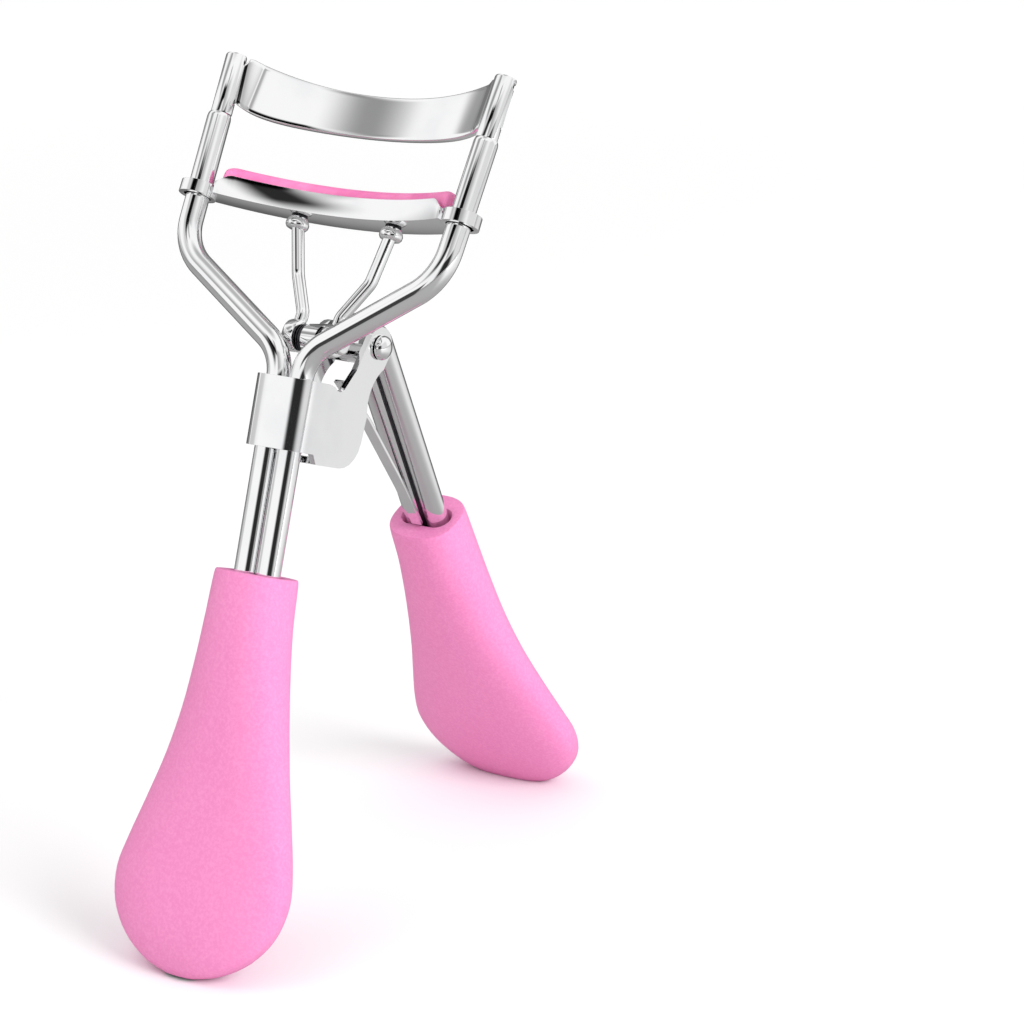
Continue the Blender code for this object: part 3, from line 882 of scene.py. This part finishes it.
@dataclass
class UpperPlate:
    """The fixed upper plate, whose middle droops and whose ends bend into the rods' slots."""

    thickness: float = 0.8 * MM
    edge: float = 15.7 * MM
    edge_rise: float = 0.9 * MM
    top: float = 20.6 * MM
    top_rise: float = 1.5 * MM
    tilt: float = math.radians(6.0)
    tab_low: float = 16.9 * MM
    tab_high: float = 21.3 * MM
    tab_reach: float = 17.85 * MM
    tab_y: float = 0.45 * MM
    tab_thickness: float = 0.56 * MM

    def form(self, plate: bpy.types.Object) -> None:
        """Moves the straight swept strip onto the plate's outline and bends its ends.

        Args:
            plate: The straight strip, in the head frame.
        """
        middle = (self.edge + self.top) / 2
        for vertex in plate.data.vertices:
            far = abs(vertex.co.x)
            part = min(far / (15.6 * MM), 1.0)
            share = (vertex.co.z - self.edge) / (self.top - self.edge)
            low = self.edge + self.edge_rise * part**8
            high = self.top + self.top_rise * part**2.3
            corner = ease(15.55 * MM, 16.0 * MM, far)
            low += (self.tab_low - low) * corner
            high += (self.tab_high - high) * corner
            line = ARC.point(vertex.co.x).y
            off = vertex.co.y - line
            off *= 1 + (self.tab_thickness / self.thickness - 1) * ease(14.6 * MM, 16.2 * MM, far)
            enter = ease(14.3 * MM, 16.3 * MM, far)
            vertex.co.z = low + (high - low) * share
            lean = (vertex.co.z - middle) * math.tan(self.tilt) * (1 - enter)
            vertex.co.y = line + (self.tab_y - line) * enter + off + lean

    def build(self) -> None:
        """Builds and dresses the plate."""
        half = self.thickness / 2
        rows = 10
        section = [(-half, self.edge + (self.top - self.edge) * i / rows) for i in range(rows + 1)]
        section += [(half, self.edge + (self.top - self.edge) * i / rows) for i in range(rows, -1, -1)]
        plate = ARC.swept("upper_plate_polished", self.tab_reach, section, 160)
        self.form(plate)
        plate.data.transform(HEAD)
        break_edges(plate, 0.12 * MM, 3, 50.0)
        fit(plate, Body.FRAME, CHROME, "upper_plate")


@dataclass
class LowerJaw:
    """The sliding lower plate with its rings, sockets and soft pad."""

    low: float = 6.2 * MM
    floor: float = 6.95 * MM
    wall_top: float = 8.45 * MM
    wall_end: float = 7.25 * MM
    draft: float = 0.22 * MM
    half_width: float = 2.15 * MM
    wall: float = 0.45 * MM
    half_chord: float = 15.4 * MM
    ring_x: float = 16.84 * MM
    ring_radius: float = 2.05 * MM
    ring_bore: float = 1.5 * MM
    ring_height: float = 1.35 * MM
    ring_drop: float = 0.42 * MM
    pad_low: float = 7.05 * MM
    pad_top: float = 9.85 * MM
    pad_half_width: float = 1.5 * MM
    pad_half_chord: float = 15.2 * MM
    socket_x: float = 6.05 * MM

    def ends_down(self, plate: bpy.types.Object) -> None:
        """Rounds the walls' upper corners down towards the rings.

        Args:
            plate: The channel, in the head frame.
        """
        for vertex in plate.data.vertices:
            if vertex.co.z < self.floor - 0.2 * MM:
                line = ARC.point(vertex.co.x)
                vertex.co.y += math.copysign(self.draft, line.y - vertex.co.y)
            if vertex.co.z > self.floor + 0.2 * MM:
                part = min(max((abs(vertex.co.x) - 12.9 * MM) / (2.0 * MM), 0), 1)
                vertex.co.z -= (self.wall_top - self.wall_end) * part * part * (3 - 2 * part)

    def channel(self) -> bpy.types.Object:
        """The curved channel with a ring at each end.

        Returns:
            The plate with its rings bored out, in place.
        """
        out = self.half_width
        inside = out - self.wall
        section = [(-out, self.low), (out, self.low), (out, self.wall_top), (inside, self.wall_top)]
        section += [(inside, self.floor), (-inside, self.floor)]
        section += [(-inside, self.wall_top), (-out, self.wall_top)]
        plate = ARC.swept("lower_plate_polished", self.half_chord, section, 72)
        self.ends_down(plate)
        up = Vector((0, 0, 1))
        pieces = [plate]
        for side in (-1, 1):
            place = Vector((side * self.ring_x, 0, self.low - self.ring_drop))
            profile = [(0.0, self.ring_radius), (self.ring_height, self.ring_radius)]
            pieces.append(turned(f"ring_{side}", place, up, profile, 64).done())
        plate = join(pieces, "lower_plate_polished")
        for side in (-1, 1):
            place = Vector((side * self.ring_x, 0, self.low - MM))
            bore = [(0.0, self.ring_bore), (4 * MM, self.ring_bore)]
            cut(plate, turned(f"bore_{side}", place, up, bore, 64).done())
        plate.data.transform(HEAD)
        break_edges(plate, 0.2 * MM, 4, 40.0)
        return plate

    def pad(self) -> bpy.types.Object:
        """The crowned silicone strip, closed and rounded at its ends.

        Returns:
            The pad, in place.
        """
        wide = self.pad_half_width
        tall = self.pad_top - self.pad_low
        section = []
        for step in range(24):
            angle = math.tau * step / 24
            across = math.copysign(abs(math.cos(angle)) ** 0.75, math.cos(angle)) * wide
            up = math.copysign(abs(math.sin(angle)) ** 0.75, math.sin(angle)) * tall / 2
            section.append((across, self.pad_low + tall / 2 + up))
        pad = ARC.swept("lash_pad_soft", self.pad_half_chord - 0.2 * MM, section, 96)
        middle = self.pad_low + tall / 2
        for vertex in pad.data.vertices:
            reach = self.pad_half_chord - 1.6 * MM
            part = min(max((abs(vertex.co.x) - reach) / (1.5 * MM), 0), 1)
            shrink = math.sqrt(max(1 - 0.96 * part * part, 0.0))
            line = ARC.point(max(-reach - 1.4 * MM, min(reach + 1.4 * MM, vertex.co.x)))
            vertex.co.y = line.y + (vertex.co.y - line.y) * shrink
            vertex.co.z = middle - 0.25 * MM * part + (vertex.co.z - middle) * shrink
        pad.data.transform(HEAD)
        soften(pad, 60)
        apply_modifier(pad, "SUBSURF", levels=1, render_levels=1)
        return pad

    def socket(self, side: int) -> bpy.types.Object:
        """A domed nut under the plate.

        Args:
            side: -1 for left, 1 for right.

        Returns:
            The nut, in place.
        """
        base = ARC.point(self.socket_x)
        place = Vector((side * self.socket_x, base.y, self.low - 1.45 * MM))
        profile = [(0.0, 0.95 * MM), (0.06 * MM, 1.1 * MM), (0.28 * MM, 1.24 * MM), (0.62 * MM, 1.28 * MM)]
        profile += [(0.95 * MM, 1.16 * MM), (1.15 * MM, 0.98 * MM), (1.25 * MM, 0.9 * MM)]
        return turned(f"socket_{side}", place, Vector((0, 0, 1)), profile, 48).done(HEAD, 45)

    def washer(self, side: int) -> bpy.types.Object:
        """The dark ring between a nut and the plate.

        Args:
            side: -1 for left, 1 for right.

        Returns:
            The ring, in place.
        """
        base = ARC.point(self.socket_x)
        place = Vector((side * self.socket_x, base.y, self.low - 0.19 * MM))
        profile = [(0.0, 0.75 * MM), (0.04 * MM, 0.84 * MM), (0.14 * MM, 0.88 * MM), (0.2 * MM, 0.82 * MM)]
        return turned(f"washer_{side}", place, Vector((0, 0, 1)), profile, 48).done(HEAD, 45)

    def build(self) -> None:
        """Builds and dresses the jaw."""
        fit(self.channel(), Body.JAW, CHROME, "lower_plate")
        fit(self.pad(), Body.JAW, SILICONE, "lash_pad")
        for side, word in ((-1, "left"), (1, "right")):
            nut = self.socket(side)
            nut.name = f"domed_nut_{word}"
            fit(nut, Body.JAW, CHROME, f"socket_{word}")
            ring = self.washer(side)
            ring.name = f"nut_ring_{word}"
            fit(ring, Body.JAW, DARK)


# ---------------------------------------------------------------- links and lever


@dataclass
class Linkage:
    """Links, link pin, spacers, knuckle, rivet and lever rods."""

    fulcrum: tuple = (0.0, 10.3, 25.6)
    arm: float = 6.9 * MM
    arm_dip: float = math.radians(4.0)
    kink: tuple = (4.69, 4.95, 31.8)
    drop: float = 2.6 * MM
    link_radius: float = 0.68 * MM
    eye_radius: float = 1.72 * MM
    eye_bore: float = 1.0 * MM
    eye_inner: float = 1.75 * MM
    eye_outer: float = 3.1 * MM
    rod_radius: float = 1.3 * MM
    rod_spacing: float = 1.42 * MM
    rod_bend: float = 2.4 * MM
    lever_angle: float = math.radians(43.5)
    bend: tuple = (0.0, 13.0, 26.8)
    run: float = 25.4 * MM
    sink: float = 13.0 * MM
    swell: float = 0.45 * MM
    hollow: float = 4.6 * MM

    def centre(self) -> Vector:
        """The fulcrum, in the handle frame."""
        return Vector(self.fulcrum) * MM

    def pin(self) -> Vector:
        """The link pin's middle, in the handle frame."""
        return self.centre() + Vector((0, -math.cos(self.arm_dip), -math.sin(self.arm_dip))) * self.arm

    def link(self, side: int, name: str) -> bpy.types.Object:
        """One link, from its nut down to its eye.

        Args:
            side: -1 for left, 1 for right.
            name: The piece's name.

        Returns:
            The link with its eye bored out, in place.
        """
        base = ARC.point(6.05 * MM)
        top = HANDLE.inverted() @ HEAD @ Vector((side * base.x, base.y, 5.5 * MM))
        middle = (self.eye_inner + self.eye_outer) / 2
        eye = self.pin() + Vector((side * middle, -0.28 * MM, 0.13 * MM))
        kink = Vector((side * self.kink[0], self.kink[1], self.kink[2])) * MM
        towards = Vector((0, kink.y - eye.y, kink.z - eye.z)).normalized()
        corners = [top, kink, eye + towards * self.drop, eye + towards * 1.15 * MM]
        rod = bent_rod(f"{name}_rod", corners, [3.0 * MM, 1.5 * MM], self.link_radius, 32).done(None, 40)
        start = eye - Vector((side * (self.eye_outer - self.eye_inner) / 2, 0, 0))
        out = Vector((side, 0, 0))
        wide = self.eye_outer - self.eye_inner
        rim = self.eye_radius
        profile = [(0.0, rim - 0.18 * MM), (0.05 * MM, rim - 0.06 * MM), (0.2 * MM, rim)]
        profile += [(wide - 0.2 * MM, rim), (wide - 0.05 * MM, rim - 0.06 * MM), (wide, rim - 0.18 * MM)]
        ring = turned(f"{name}_eye", start, out, profile, 48).done(None, 40)
        made = join([rod, ring], name)
        bore = [(0.0, self.eye_bore), (wide + 2 * MM, self.eye_bore)]
        cut(made, turned("bore", start - out * MM, out, bore, 48).done())
        made.data.transform(HANDLE)
        soften(made, 40)
        return made

    def pin_piece(self) -> bpy.types.Object:
        """The link pin with a flat rounded head at each end.

        Returns:
            The pin, in place.
        """
        half = [(3.25, 0.6), (3.25, 1.12), (3.32, 1.2), (3.6, 1.2), (3.7, 1.1), (3.74, 0.9)]
        profile = [(-x * MM, r * MM) for x, r in reversed(half)] + [(x * MM, r * MM) for x, r in half]
        return turned("link_pin_polished", self.pin(), Vector((1, 0, 0)), profile).done(HANDLE, 40)

    def spacer(self, side: int) -> bpy.types.Object:
        """A dark grooved ring between an eye and the barrel.

        Args:
            side: -1 for left, 1 for right.

        Returns:
            The ring, in place.
        """
        profile = [(1.02, 0.85), (1.02, 1.44), (1.08, 1.5), (1.3, 1.5), (1.33, 1.38)]
        profile += [(1.42, 1.38), (1.45, 1.5), (1.56, 1.5), (1.62, 1.44), (1.62, 0.85)]
        scaled = [(x * MM, r * MM) for x, r in profile]
        return turned(f"spacer_{side}", self.pin(), Vector((side, 0, 0)), scaled).done(HANDLE, 40)

    def rivet(self) -> bpy.types.Object:
        """The fulcrum rivet with its two domed heads.

        Returns:
            The rivet, in place.
        """
        half = [(0.0, 0.8), (3.74, 0.8), (3.74, 1.3), (3.84, 1.36), (4.05, 1.34), (4.3, 1.2), (4.5, 0.98)]
        half += [(4.64, 0.72), (4.73, 0.44), (4.77, 0.16)]
        profile = [(-x * MM, r * MM) for x, r in reversed(half[1:])] + [(x * MM, r * MM) for x, r in half[1:]]
        along = Vector((1, 0, 0))
        return turned("fulcrum_rivet_polished", self.centre(), along, profile, 64).done(HANDLE, 40)

    def lever_rod(self, side: int, name: str) -> bpy.types.Object:
        """One rod of the lever.

        Args:
            side: -1 for left, 1 for right.
            name: The piece's name.

        Returns:
            The rod, in place.
        """
        down = Vector((0, math.sin(self.lever_angle), -math.cos(self.lever_angle)))
        bend = Vector((side * self.rod_spacing, self.bend[1] * MM, self.bend[2] * MM))
        root = Vector((bend.x, 11.9 * MM, bend.z + 0.2 * MM))
        end = bend + down * (self.run + self.sink)
        return bent_rod(name, [root, bend, end], [self.rod_bend], self.rod_radius).done(HANDLE, 40)

    def shape_bracket(self, piece: bpy.types.Object) -> None:
        """Hollows the ears' rear edges and swells the collar's front.

        Args:
            piece: The bracket's copy, in place.
        """
        out = Vector((1, 0, 0))
        start = Vector((-9 * MM, 14.3 * MM, 19.6 * MM))
        round_bar = [(0.0, self.hollow), (18 * MM, self.hollow)]
        cut(piece, turned("hollow", start, out, round_bar, 96).done(HANDLE))
        pick_up(piece)
        bpy.ops.object.mode_set(mode="EDIT")
        for step in range(-7, 8):
            bpy.ops.mesh.select_all(action="SELECT")
            bpy.ops.mesh.bisect(plane_co=(step * 0.2 * MM, 0, 0), plane_no=(1, 0, 0))
        bpy.ops.object.mode_set(mode="OBJECT")
        piece.data.transform(HANDLE.inverted())
        for vertex in piece.data.vertices:
            if vertex.co.y < -0.3 * MM:
                vertex.co.y -= self.swell * math.cos(vertex.co.x / EAR_OUTER_X * math.pi / 2) ** 2
        piece.data.transform(HANDLE)

    def gap_shade_strip(self) -> bpy.types.Object:
        """A dark strip in the groove between the two lever rods: painted shade for the crevice where they
        meet.

        Returns:
            The dark strip between the rods, in place.
        """
        down = Vector((0, math.sin(self.lever_angle), -math.cos(self.lever_angle)))
        start = Vector((0, self.bend[1] * MM, self.bend[2] * MM)) + down * 2.2 * MM
        blank = Blank("lever_gap_shade", 16, 0.5 * MM, start, down)
        blank.scale((0.6, 1.4, 1.4))
        blank.extrude(down * 0.5 * MM).scale((1.1, 1.1, 1.1))
        blank.extrude(down * 24.0 * MM)
        return blank.done(HANDLE, 50)

    def build(self) -> None:
        """Builds and dresses every piece of the linkage."""
        for side, word, body in ((-1, "left", Body.LINK_LEFT), (1, "right", Body.LINK_RIGHT)):
            fit(self.link(side, f"link_bar_{word}"), body, CHROME, f"link_{word}")
            ring = self.spacer(side)
            ring.name = f"spacer_ring_{word}"
            fit(ring, Body.LEVER, DARK, f"link_spacer_{word}")
            fit(self.lever_rod(side, f"lever_bar_{word}"), Body.LEVER, CHROME, f"lever_rod_{word}")
        fit(self.pin_piece(), Body.LEVER, CHROME, "link_pin")
        fit(self.rivet(), Body.FRAME, CHROME, "fulcrum_rivet")
        for node, name, body in (
            ("fulcrum_bracket", "bracket_polished", Body.FRAME),
            ("lever_knuckle", "knuckle_polished", Body.LEVER),
            ("return_spring", "spring_polished", Body.LEVER),
        ):
            piece = copy_of(node, name)
            if node == "fulcrum_bracket":
                self.shape_bracket(piece)
            break_edges(piece, 0.12 * MM, 3, 35.0)
            apply_modifier(piece, "WEIGHTED_NORMAL", mode="FACE_AREA", weight=100)
            fit(piece, body, CHROME, node)
        # A dark steel strip between the lever rods, painted shade for their crevice.
        fit(self.gap_shade_strip(), Body.LEVER, DARK)


# ---------------------------------------------------------------- grips


@dataclass
class Grip:
    """A grip: an oblong mouth for the rods, a slim waist and a broad round toe."""

    stations: tuple = (
        (0.0, 4.1, 3.7, 0.0),
        (0.6, 4.3, 3.9, 0.0),
        (5.0, 4.6, 3.9, 0.0),
        (10.0, 5.3, 3.7, -0.2),
        (15.0, 6.2, 3.5, -0.4),
        (20.0, 7.4, 3.3, -0.4),
        (25.0, 8.9, 3.2, -0.2),
        (29.5, 10.2, 3.3, 0.1),
        (33.0, 10.8, 3.4, 0.5),
        (36.5, 10.0, 3.3, 0.9),
        (39.4, 7.8, 2.9, 1.2),
        (41.4, 4.8, 2.1, 1.4),
        (42.3, 2.0, 1.1, 1.5),
    )
    sides: int = 64
    corner: float = 2.5
    fill: int = 4
    mouth_wide: float = 2.88 * MM
    mouth_deep: float = 1.46 * MM

    def smooth_stations(self) -> list[tuple]:
        """The stations with more between them, on a smooth curve.

        Returns:
            Rows of depth, half width, half thickness and offset.
        """
        ends = (self.stations[0],) + self.stations + (self.stations[-1],)
        filled = []
        for before, start, end, after in zip(ends, ends[1:], ends[2:], ends[3:]):
            for step in range(self.fill):
                t = step / self.fill
                filled.append(tuple(
                    q
                    + (r - p) * t / 2
                    + (p - 2.5 * q + 2 * r - s / 2) * t**2
                    + (1.5 * (q - r) + (s - p) / 2) * t**3
                    for p, q, r, s in zip(before, start, end, after)
                ))
        return filled + [self.stations[-1]]

    def shell(self, name: str) -> bpy.types.Object:
        """The grip's outer form, drawn down from its mouth.

        Args:
            name: The piece's name.

        Returns:
            The closed outer form, mouth up at the origin.
        """
        rows = self.smooth_stations()
        below, wide, deep, out = (value * MM for value in rows[0])
        blank = Blank(name, self.sides, MM, Vector(), Vector((0, 0, -1)))
        bpy.ops.object.mode_set(mode="OBJECT")
        for vertex in blank.obj.data.vertices:
            angle = math.atan2(vertex.co.y, vertex.co.x)
            across = math.copysign(abs(math.cos(angle)) ** (2 / self.corner), math.cos(angle))
            up = math.copysign(abs(math.sin(angle)) ** (2 / self.corner), math.sin(angle))
            vertex.co = Vector((wide * across, deep * up - out, 0))
        bpy.ops.object.mode_set(mode="EDIT")
        for row in rows[1:]:
            low, new_wide, new_deep, new_out = (value * MM for value in row)
            blank.extrude(Vector((0, out - new_out, below - low)))
            blank.scale((new_wide / wide, new_deep / deep, 1.0))
            below, wide, deep, out = low, new_wide, new_deep, new_out
        return blank.done(None, 60)

    def mouth_tool(self) -> bpy.types.Object:
        """The cutter of the oblong mouth, flared a little at the lip.

        Returns:
            The cutter, mouth up at the origin.
        """
        blank = Blank("mouth_tool", 48, self.mouth_deep, Vector((0, 0, 2 * MM)), Vector((0, 0, -1)))
        bpy.ops.object.mode_set(mode="OBJECT")
        stretch = self.mouth_wide - self.mouth_deep
        for vertex in blank.obj.data.vertices:
            if abs(vertex.co.x) > 1e-7:
                vertex.co.x += math.copysign(stretch, vertex.co.x)
        bpy.ops.object.mode_set(mode="EDIT")
        blank.scale((1.12, 1.2, 1.0))
        blank.extrude(Vector((0, 0, -1.9 * MM)))
        blank.extrude(Vector((0, 0, -0.45 * MM))).scale((0.93, 0.89, 1.0))
        blank.extrude(Vector((0, 0, -0.5 * MM))).scale((0.96, 0.94, 1.0))
        blank.extrude(Vector((0, 0, -12.6 * MM)))
        return blank.done(None, 60)

    def build(self, name: str, node: str, body: Body, place: Matrix) -> None:
        """Builds one grip and cuts its toe flat on the floor.

        Args:
            name: The piece's name.
            node: The frame's node that it stands for.
            body: The body that it rides on.
            place: Where the grip's mouth stands in the row frame.
        """
        grip = self.shell(name)
        cut(grip, self.mouth_tool())
        grip.data.transform(place)
        pick_up(grip)
        bpy.ops.object.mode_set(mode="EDIT")
        bpy.ops.mesh.select_all(action="SELECT")
        bpy.ops.mesh.bisect(plane_co=(0, 0, 0.00002), plane_no=(0, 0, 1), use_fill=True, clear_inner=True)
        bpy.ops.object.mode_set(mode="OBJECT")
        break_edges(grip, 0.32 * MM, 4, 38.0)
        for vertex in grip.data.vertices:
            vertex.co.y = min(max(vertex.co.y, CAD_BOX[0][1]), CAD_BOX[1][1])
            vertex.co.z = max(vertex.co.z, 0.0)
        fit(grip, body, PLASTIC, node)


def grips() -> None:
    """Builds both grips, the rear one turned round and swung out on the lever."""
    angle = math.radians(43.5)
    down = Vector((0, math.sin(angle), -math.cos(angle)))
    mouth = Vector((0, 13.0 * MM, 26.8 * MM)) + down * 25.4 * MM
    rear = Matrix.Translation(mouth) @ Matrix.Rotation(angle, 4, "X") @ Matrix.Rotation(math.pi, 4, "Z")
    Grip().build("front_grip_satin", "front_grip", Body.FRAME, HANDLE)
    Grip().build("rear_grip_satin", "rear_grip", Body.LEVER, HANDLE @ rear)


# ---------------------------------------------------------------- studio


@dataclass
class Studio:
    """The pale floor, the bright room with its dark gaps, the lamps and the camera."""

    yaw: float = math.radians(32.47)
    pitch: float = math.radians(17.25)
    roll: float = math.radians(-0.69)
    place: tuple = (0.17211, -0.23828, 0.13243)
    lens: float = 99.26
    floor_size: float = 6.0
    mirror_light: float = 1.0
    soft_light: float = 0.80

    def camera(self) -> None:
        """The camera, looking a little down on the curler from its front right."""
        data = bpy.data.cameras.new("camera")
        data.lens = self.lens
        data.sensor_width = 36.0
        data.clip_start = 0.01
        data.clip_end = 50.0
        obj = bpy.data.objects.new("camera", data)
        bpy.context.collection.objects.link(obj)
        turn = Matrix.Rotation(self.yaw, 4, "Z") @ Matrix.Rotation(math.pi / 2 - self.pitch, 4, "X")
        obj.matrix_world = Matrix.Translation(self.place) @ turn @ Matrix.Rotation(self.roll, 4, "Z")
        bpy.context.scene.camera = obj

    def floor(self) -> None:
        """The white floor. Where polished metal mirrors it, it is painted grey near the curler and behind it,
        a painted shade seen only in reflections, and its far part glows with painted light.
        """
        put_down()
        bpy.ops.mesh.primitive_plane_add(size=self.floor_size, location=(0, 0, 0))
        floor = bpy.context.object
        floor.name = "floor"
        made = bpy.data.materials.new("white_floor")
        made.use_nodes = True
        made.node_tree.nodes.clear()
        maker = Maker(made.node_tree)
        place = maker.node("ShaderNodeTexCoord", {}, {}, "Object")
        x, y, _ = maker.split(place)
        reach = maker.node("ShaderNodeVectorMath", {"operation": "LENGTH"}, {0: place}, "Value")
        turn = maker.turn(y, x)
        # Painted shade: only where polished metal mirrors the floor it turns grey, lighter to the side,
        # darker near the curler, behind it and in front.
        side = turn.band(-40, -10, 66, 84)
        behind = turn.band(72, 92, 158, 174) * reach.smooth(0.05, 0.14)
        front = turn.band(-130, -122, -98, -90) * reach.smooth(0.22, 0.40)
        level = (0.34 + side * reach.smooth(0.05, 0.16) * 0.30) * (1.0 - behind * 0.7) * (1.0 - front * 0.9)
        mirrored = maker.node("ShaderNodeLightPath", {}, {}, "Is Glossy Ray")
        level = 0.93 - mirrored * (0.93 - level)
        colour = maker.node("ShaderNodeCombineColor", {}, {0: level, 1: level, 2: level})
        # Painted light: an emission brightens the floor more the farther it lies from the curler; reflections
        # don't see it.
        painted_far_glow = reach.smooth(0.08, 0.80) * (1.0 - mirrored) * 0.19
        glow = maker.node("ShaderNodeCombineColor", {}, {0: painted_far_glow, 1: painted_far_glow, 2: painted_far_glow})
        values = {"Base Color": colour, "Roughness": 0.85, "Specular IOR Level": 0.1}
        values |= {"Emission Color": glow, "Emission Strength": 1.0}
        Finish.output(maker, maker.node("ShaderNodeBsdfPrincipled", {}, values))
        floor.data.materials.append(made)

    def gaps(self, turn: "Wire", rise: "Wire") -> "Wire":
        """The light of the room in one direction, less its dark gaps and grey corners.

        Args:
            turn: The direction's turn about the vertical, in degrees.
            rise: Its height above the floor, in degrees.

        Returns:
            The light there, about 1 where nothing darkens it.
        """
        slant = turn - (rise - 40.0) * 1.08
        dark = (
            (slant.band(-132, -104, -92, -70) * rise.band(22, 33, 46, 58), 0.975),
            (turn.band(-76, -58, -34, -6) * rise.band(-8, -4, 20, 27), 0.975),
            (turn.band(-130, -122, -98, -90) * rise.band(-8, -5, 10, 14), 0.95),
            (turn.band(-172, -145, -142, -112) * rise.band(34, 42, 62, 70), 0.68),
            (turn.band(-72, -62, -60, -8) * rise.band(22, 30, 48, 54), 0.55),
            (turn.band(160, 168, 175, 180) * rise.band(12, 15, 22, 28), 0.62),
            (turn.band(-76, -71, -60, -50) * rise.band(50, 55, 62, 66), 0.55),
            (turn.band(72, 92, 158, 174) * rise.band(-60, -50, 52, 70), 0.80),
            (turn.band(-112, -104, -70, -62) * rise.band(41, 44, 50, 54), 0.97),
            (turn.band(-182, -176, -156, -140) * rise.band(-90, -80, 6, 18), 0.38),
            (turn.band(-24, -4, 24, 44) * rise.band(-20, -8, 24, 40), 0.24),
            (rise.smooth(64, 84), 0.5),
        )
        level = None
        for share, depth in dark:
            left = 1.0 - share * depth
            level = left if level is None else level * left
        return level

    def room(self) -> None:
        """A bright room whose dark gaps give polished metal its stripes."""
        world = bpy.data.worlds.new("room")
        bpy.context.scene.world = world
        world.use_nodes = True
        world.node_tree.nodes.clear()
        maker = Maker(world.node_tree)
        x, y, z = maker.split(maker.node("ShaderNodeTexCoord", {}, {}, "Generated"))
        rise = maker.node("ShaderNodeMath", {"operation": "ARCSINE"}, {0: z}) * (180 / math.pi)
        level = self.gaps(maker.turn(y, x), rise) * self.mirror_light
        mirrored = maker.node("ShaderNodeLightPath", {}, {}, "Is Glossy Ray")
        seen = maker.node("ShaderNodeLightPath", {}, {}, "Is Camera Ray")
        strength = mirrored * level + (1.0 - mirrored) * self.soft_light
        strength = strength * (1.0 - seen) + seen * 1.0
        light = maker.node("ShaderNodeBackground", {}, {"Color": (1, 1, 1, 1), "Strength": strength})
        output = world.node_tree.nodes.new("ShaderNodeOutputWorld")
        world.node_tree.links.new(light.socket, output.inputs["Surface"])

    def lamp(self, name: str, place: tuple, aim: tuple, size: float, watts: float) -> None:
        """One square soft lamp.

        Args:
            name: The lamp's name.
            place: Where it hangs.
            aim: The point that it lights.
            size: Its side, in metres.
            watts: Its power.
        """
        data = bpy.data.lights.new(name, "AREA")
        data.shape = "SQUARE"
        data.size = size
        data.energy = watts
        obj = bpy.data.objects.new(name, data)
        bpy.context.collection.objects.link(obj)
        obj.visible_glossy = False
        obj.location = place
        obj.rotation_euler = (Vector(aim) - Vector(place)).to_track_quat("-Z", "Y").to_euler()

    def build(self) -> None:
        """Builds the whole set."""
        self.camera()
        self.floor()
        self.room()
        self.lamp("key_lamp", (0.60, -0.10, 0.36), (0, 0, 0.02), 0.35, 3.3)
        self.lamp("fill_lamp", (-0.3, -0.3, 0.8), (0, 0, 0.04), 0.5, 1.2)
        bpy.context.scene.view_settings.view_transform = "Standard"


# ---------------------------------------------------------------- main


def main() -> None:
    """Builds every piece in order."""
    logging.basicConfig(level=logging.INFO, format="%(name)s %(message)s")
    Studio().build()
    FrameRods().build()
    UpperPlate().build()
    LowerJaw().build()
    Linkage().build()
    grips()


if __name__ == "__main__":
    main()
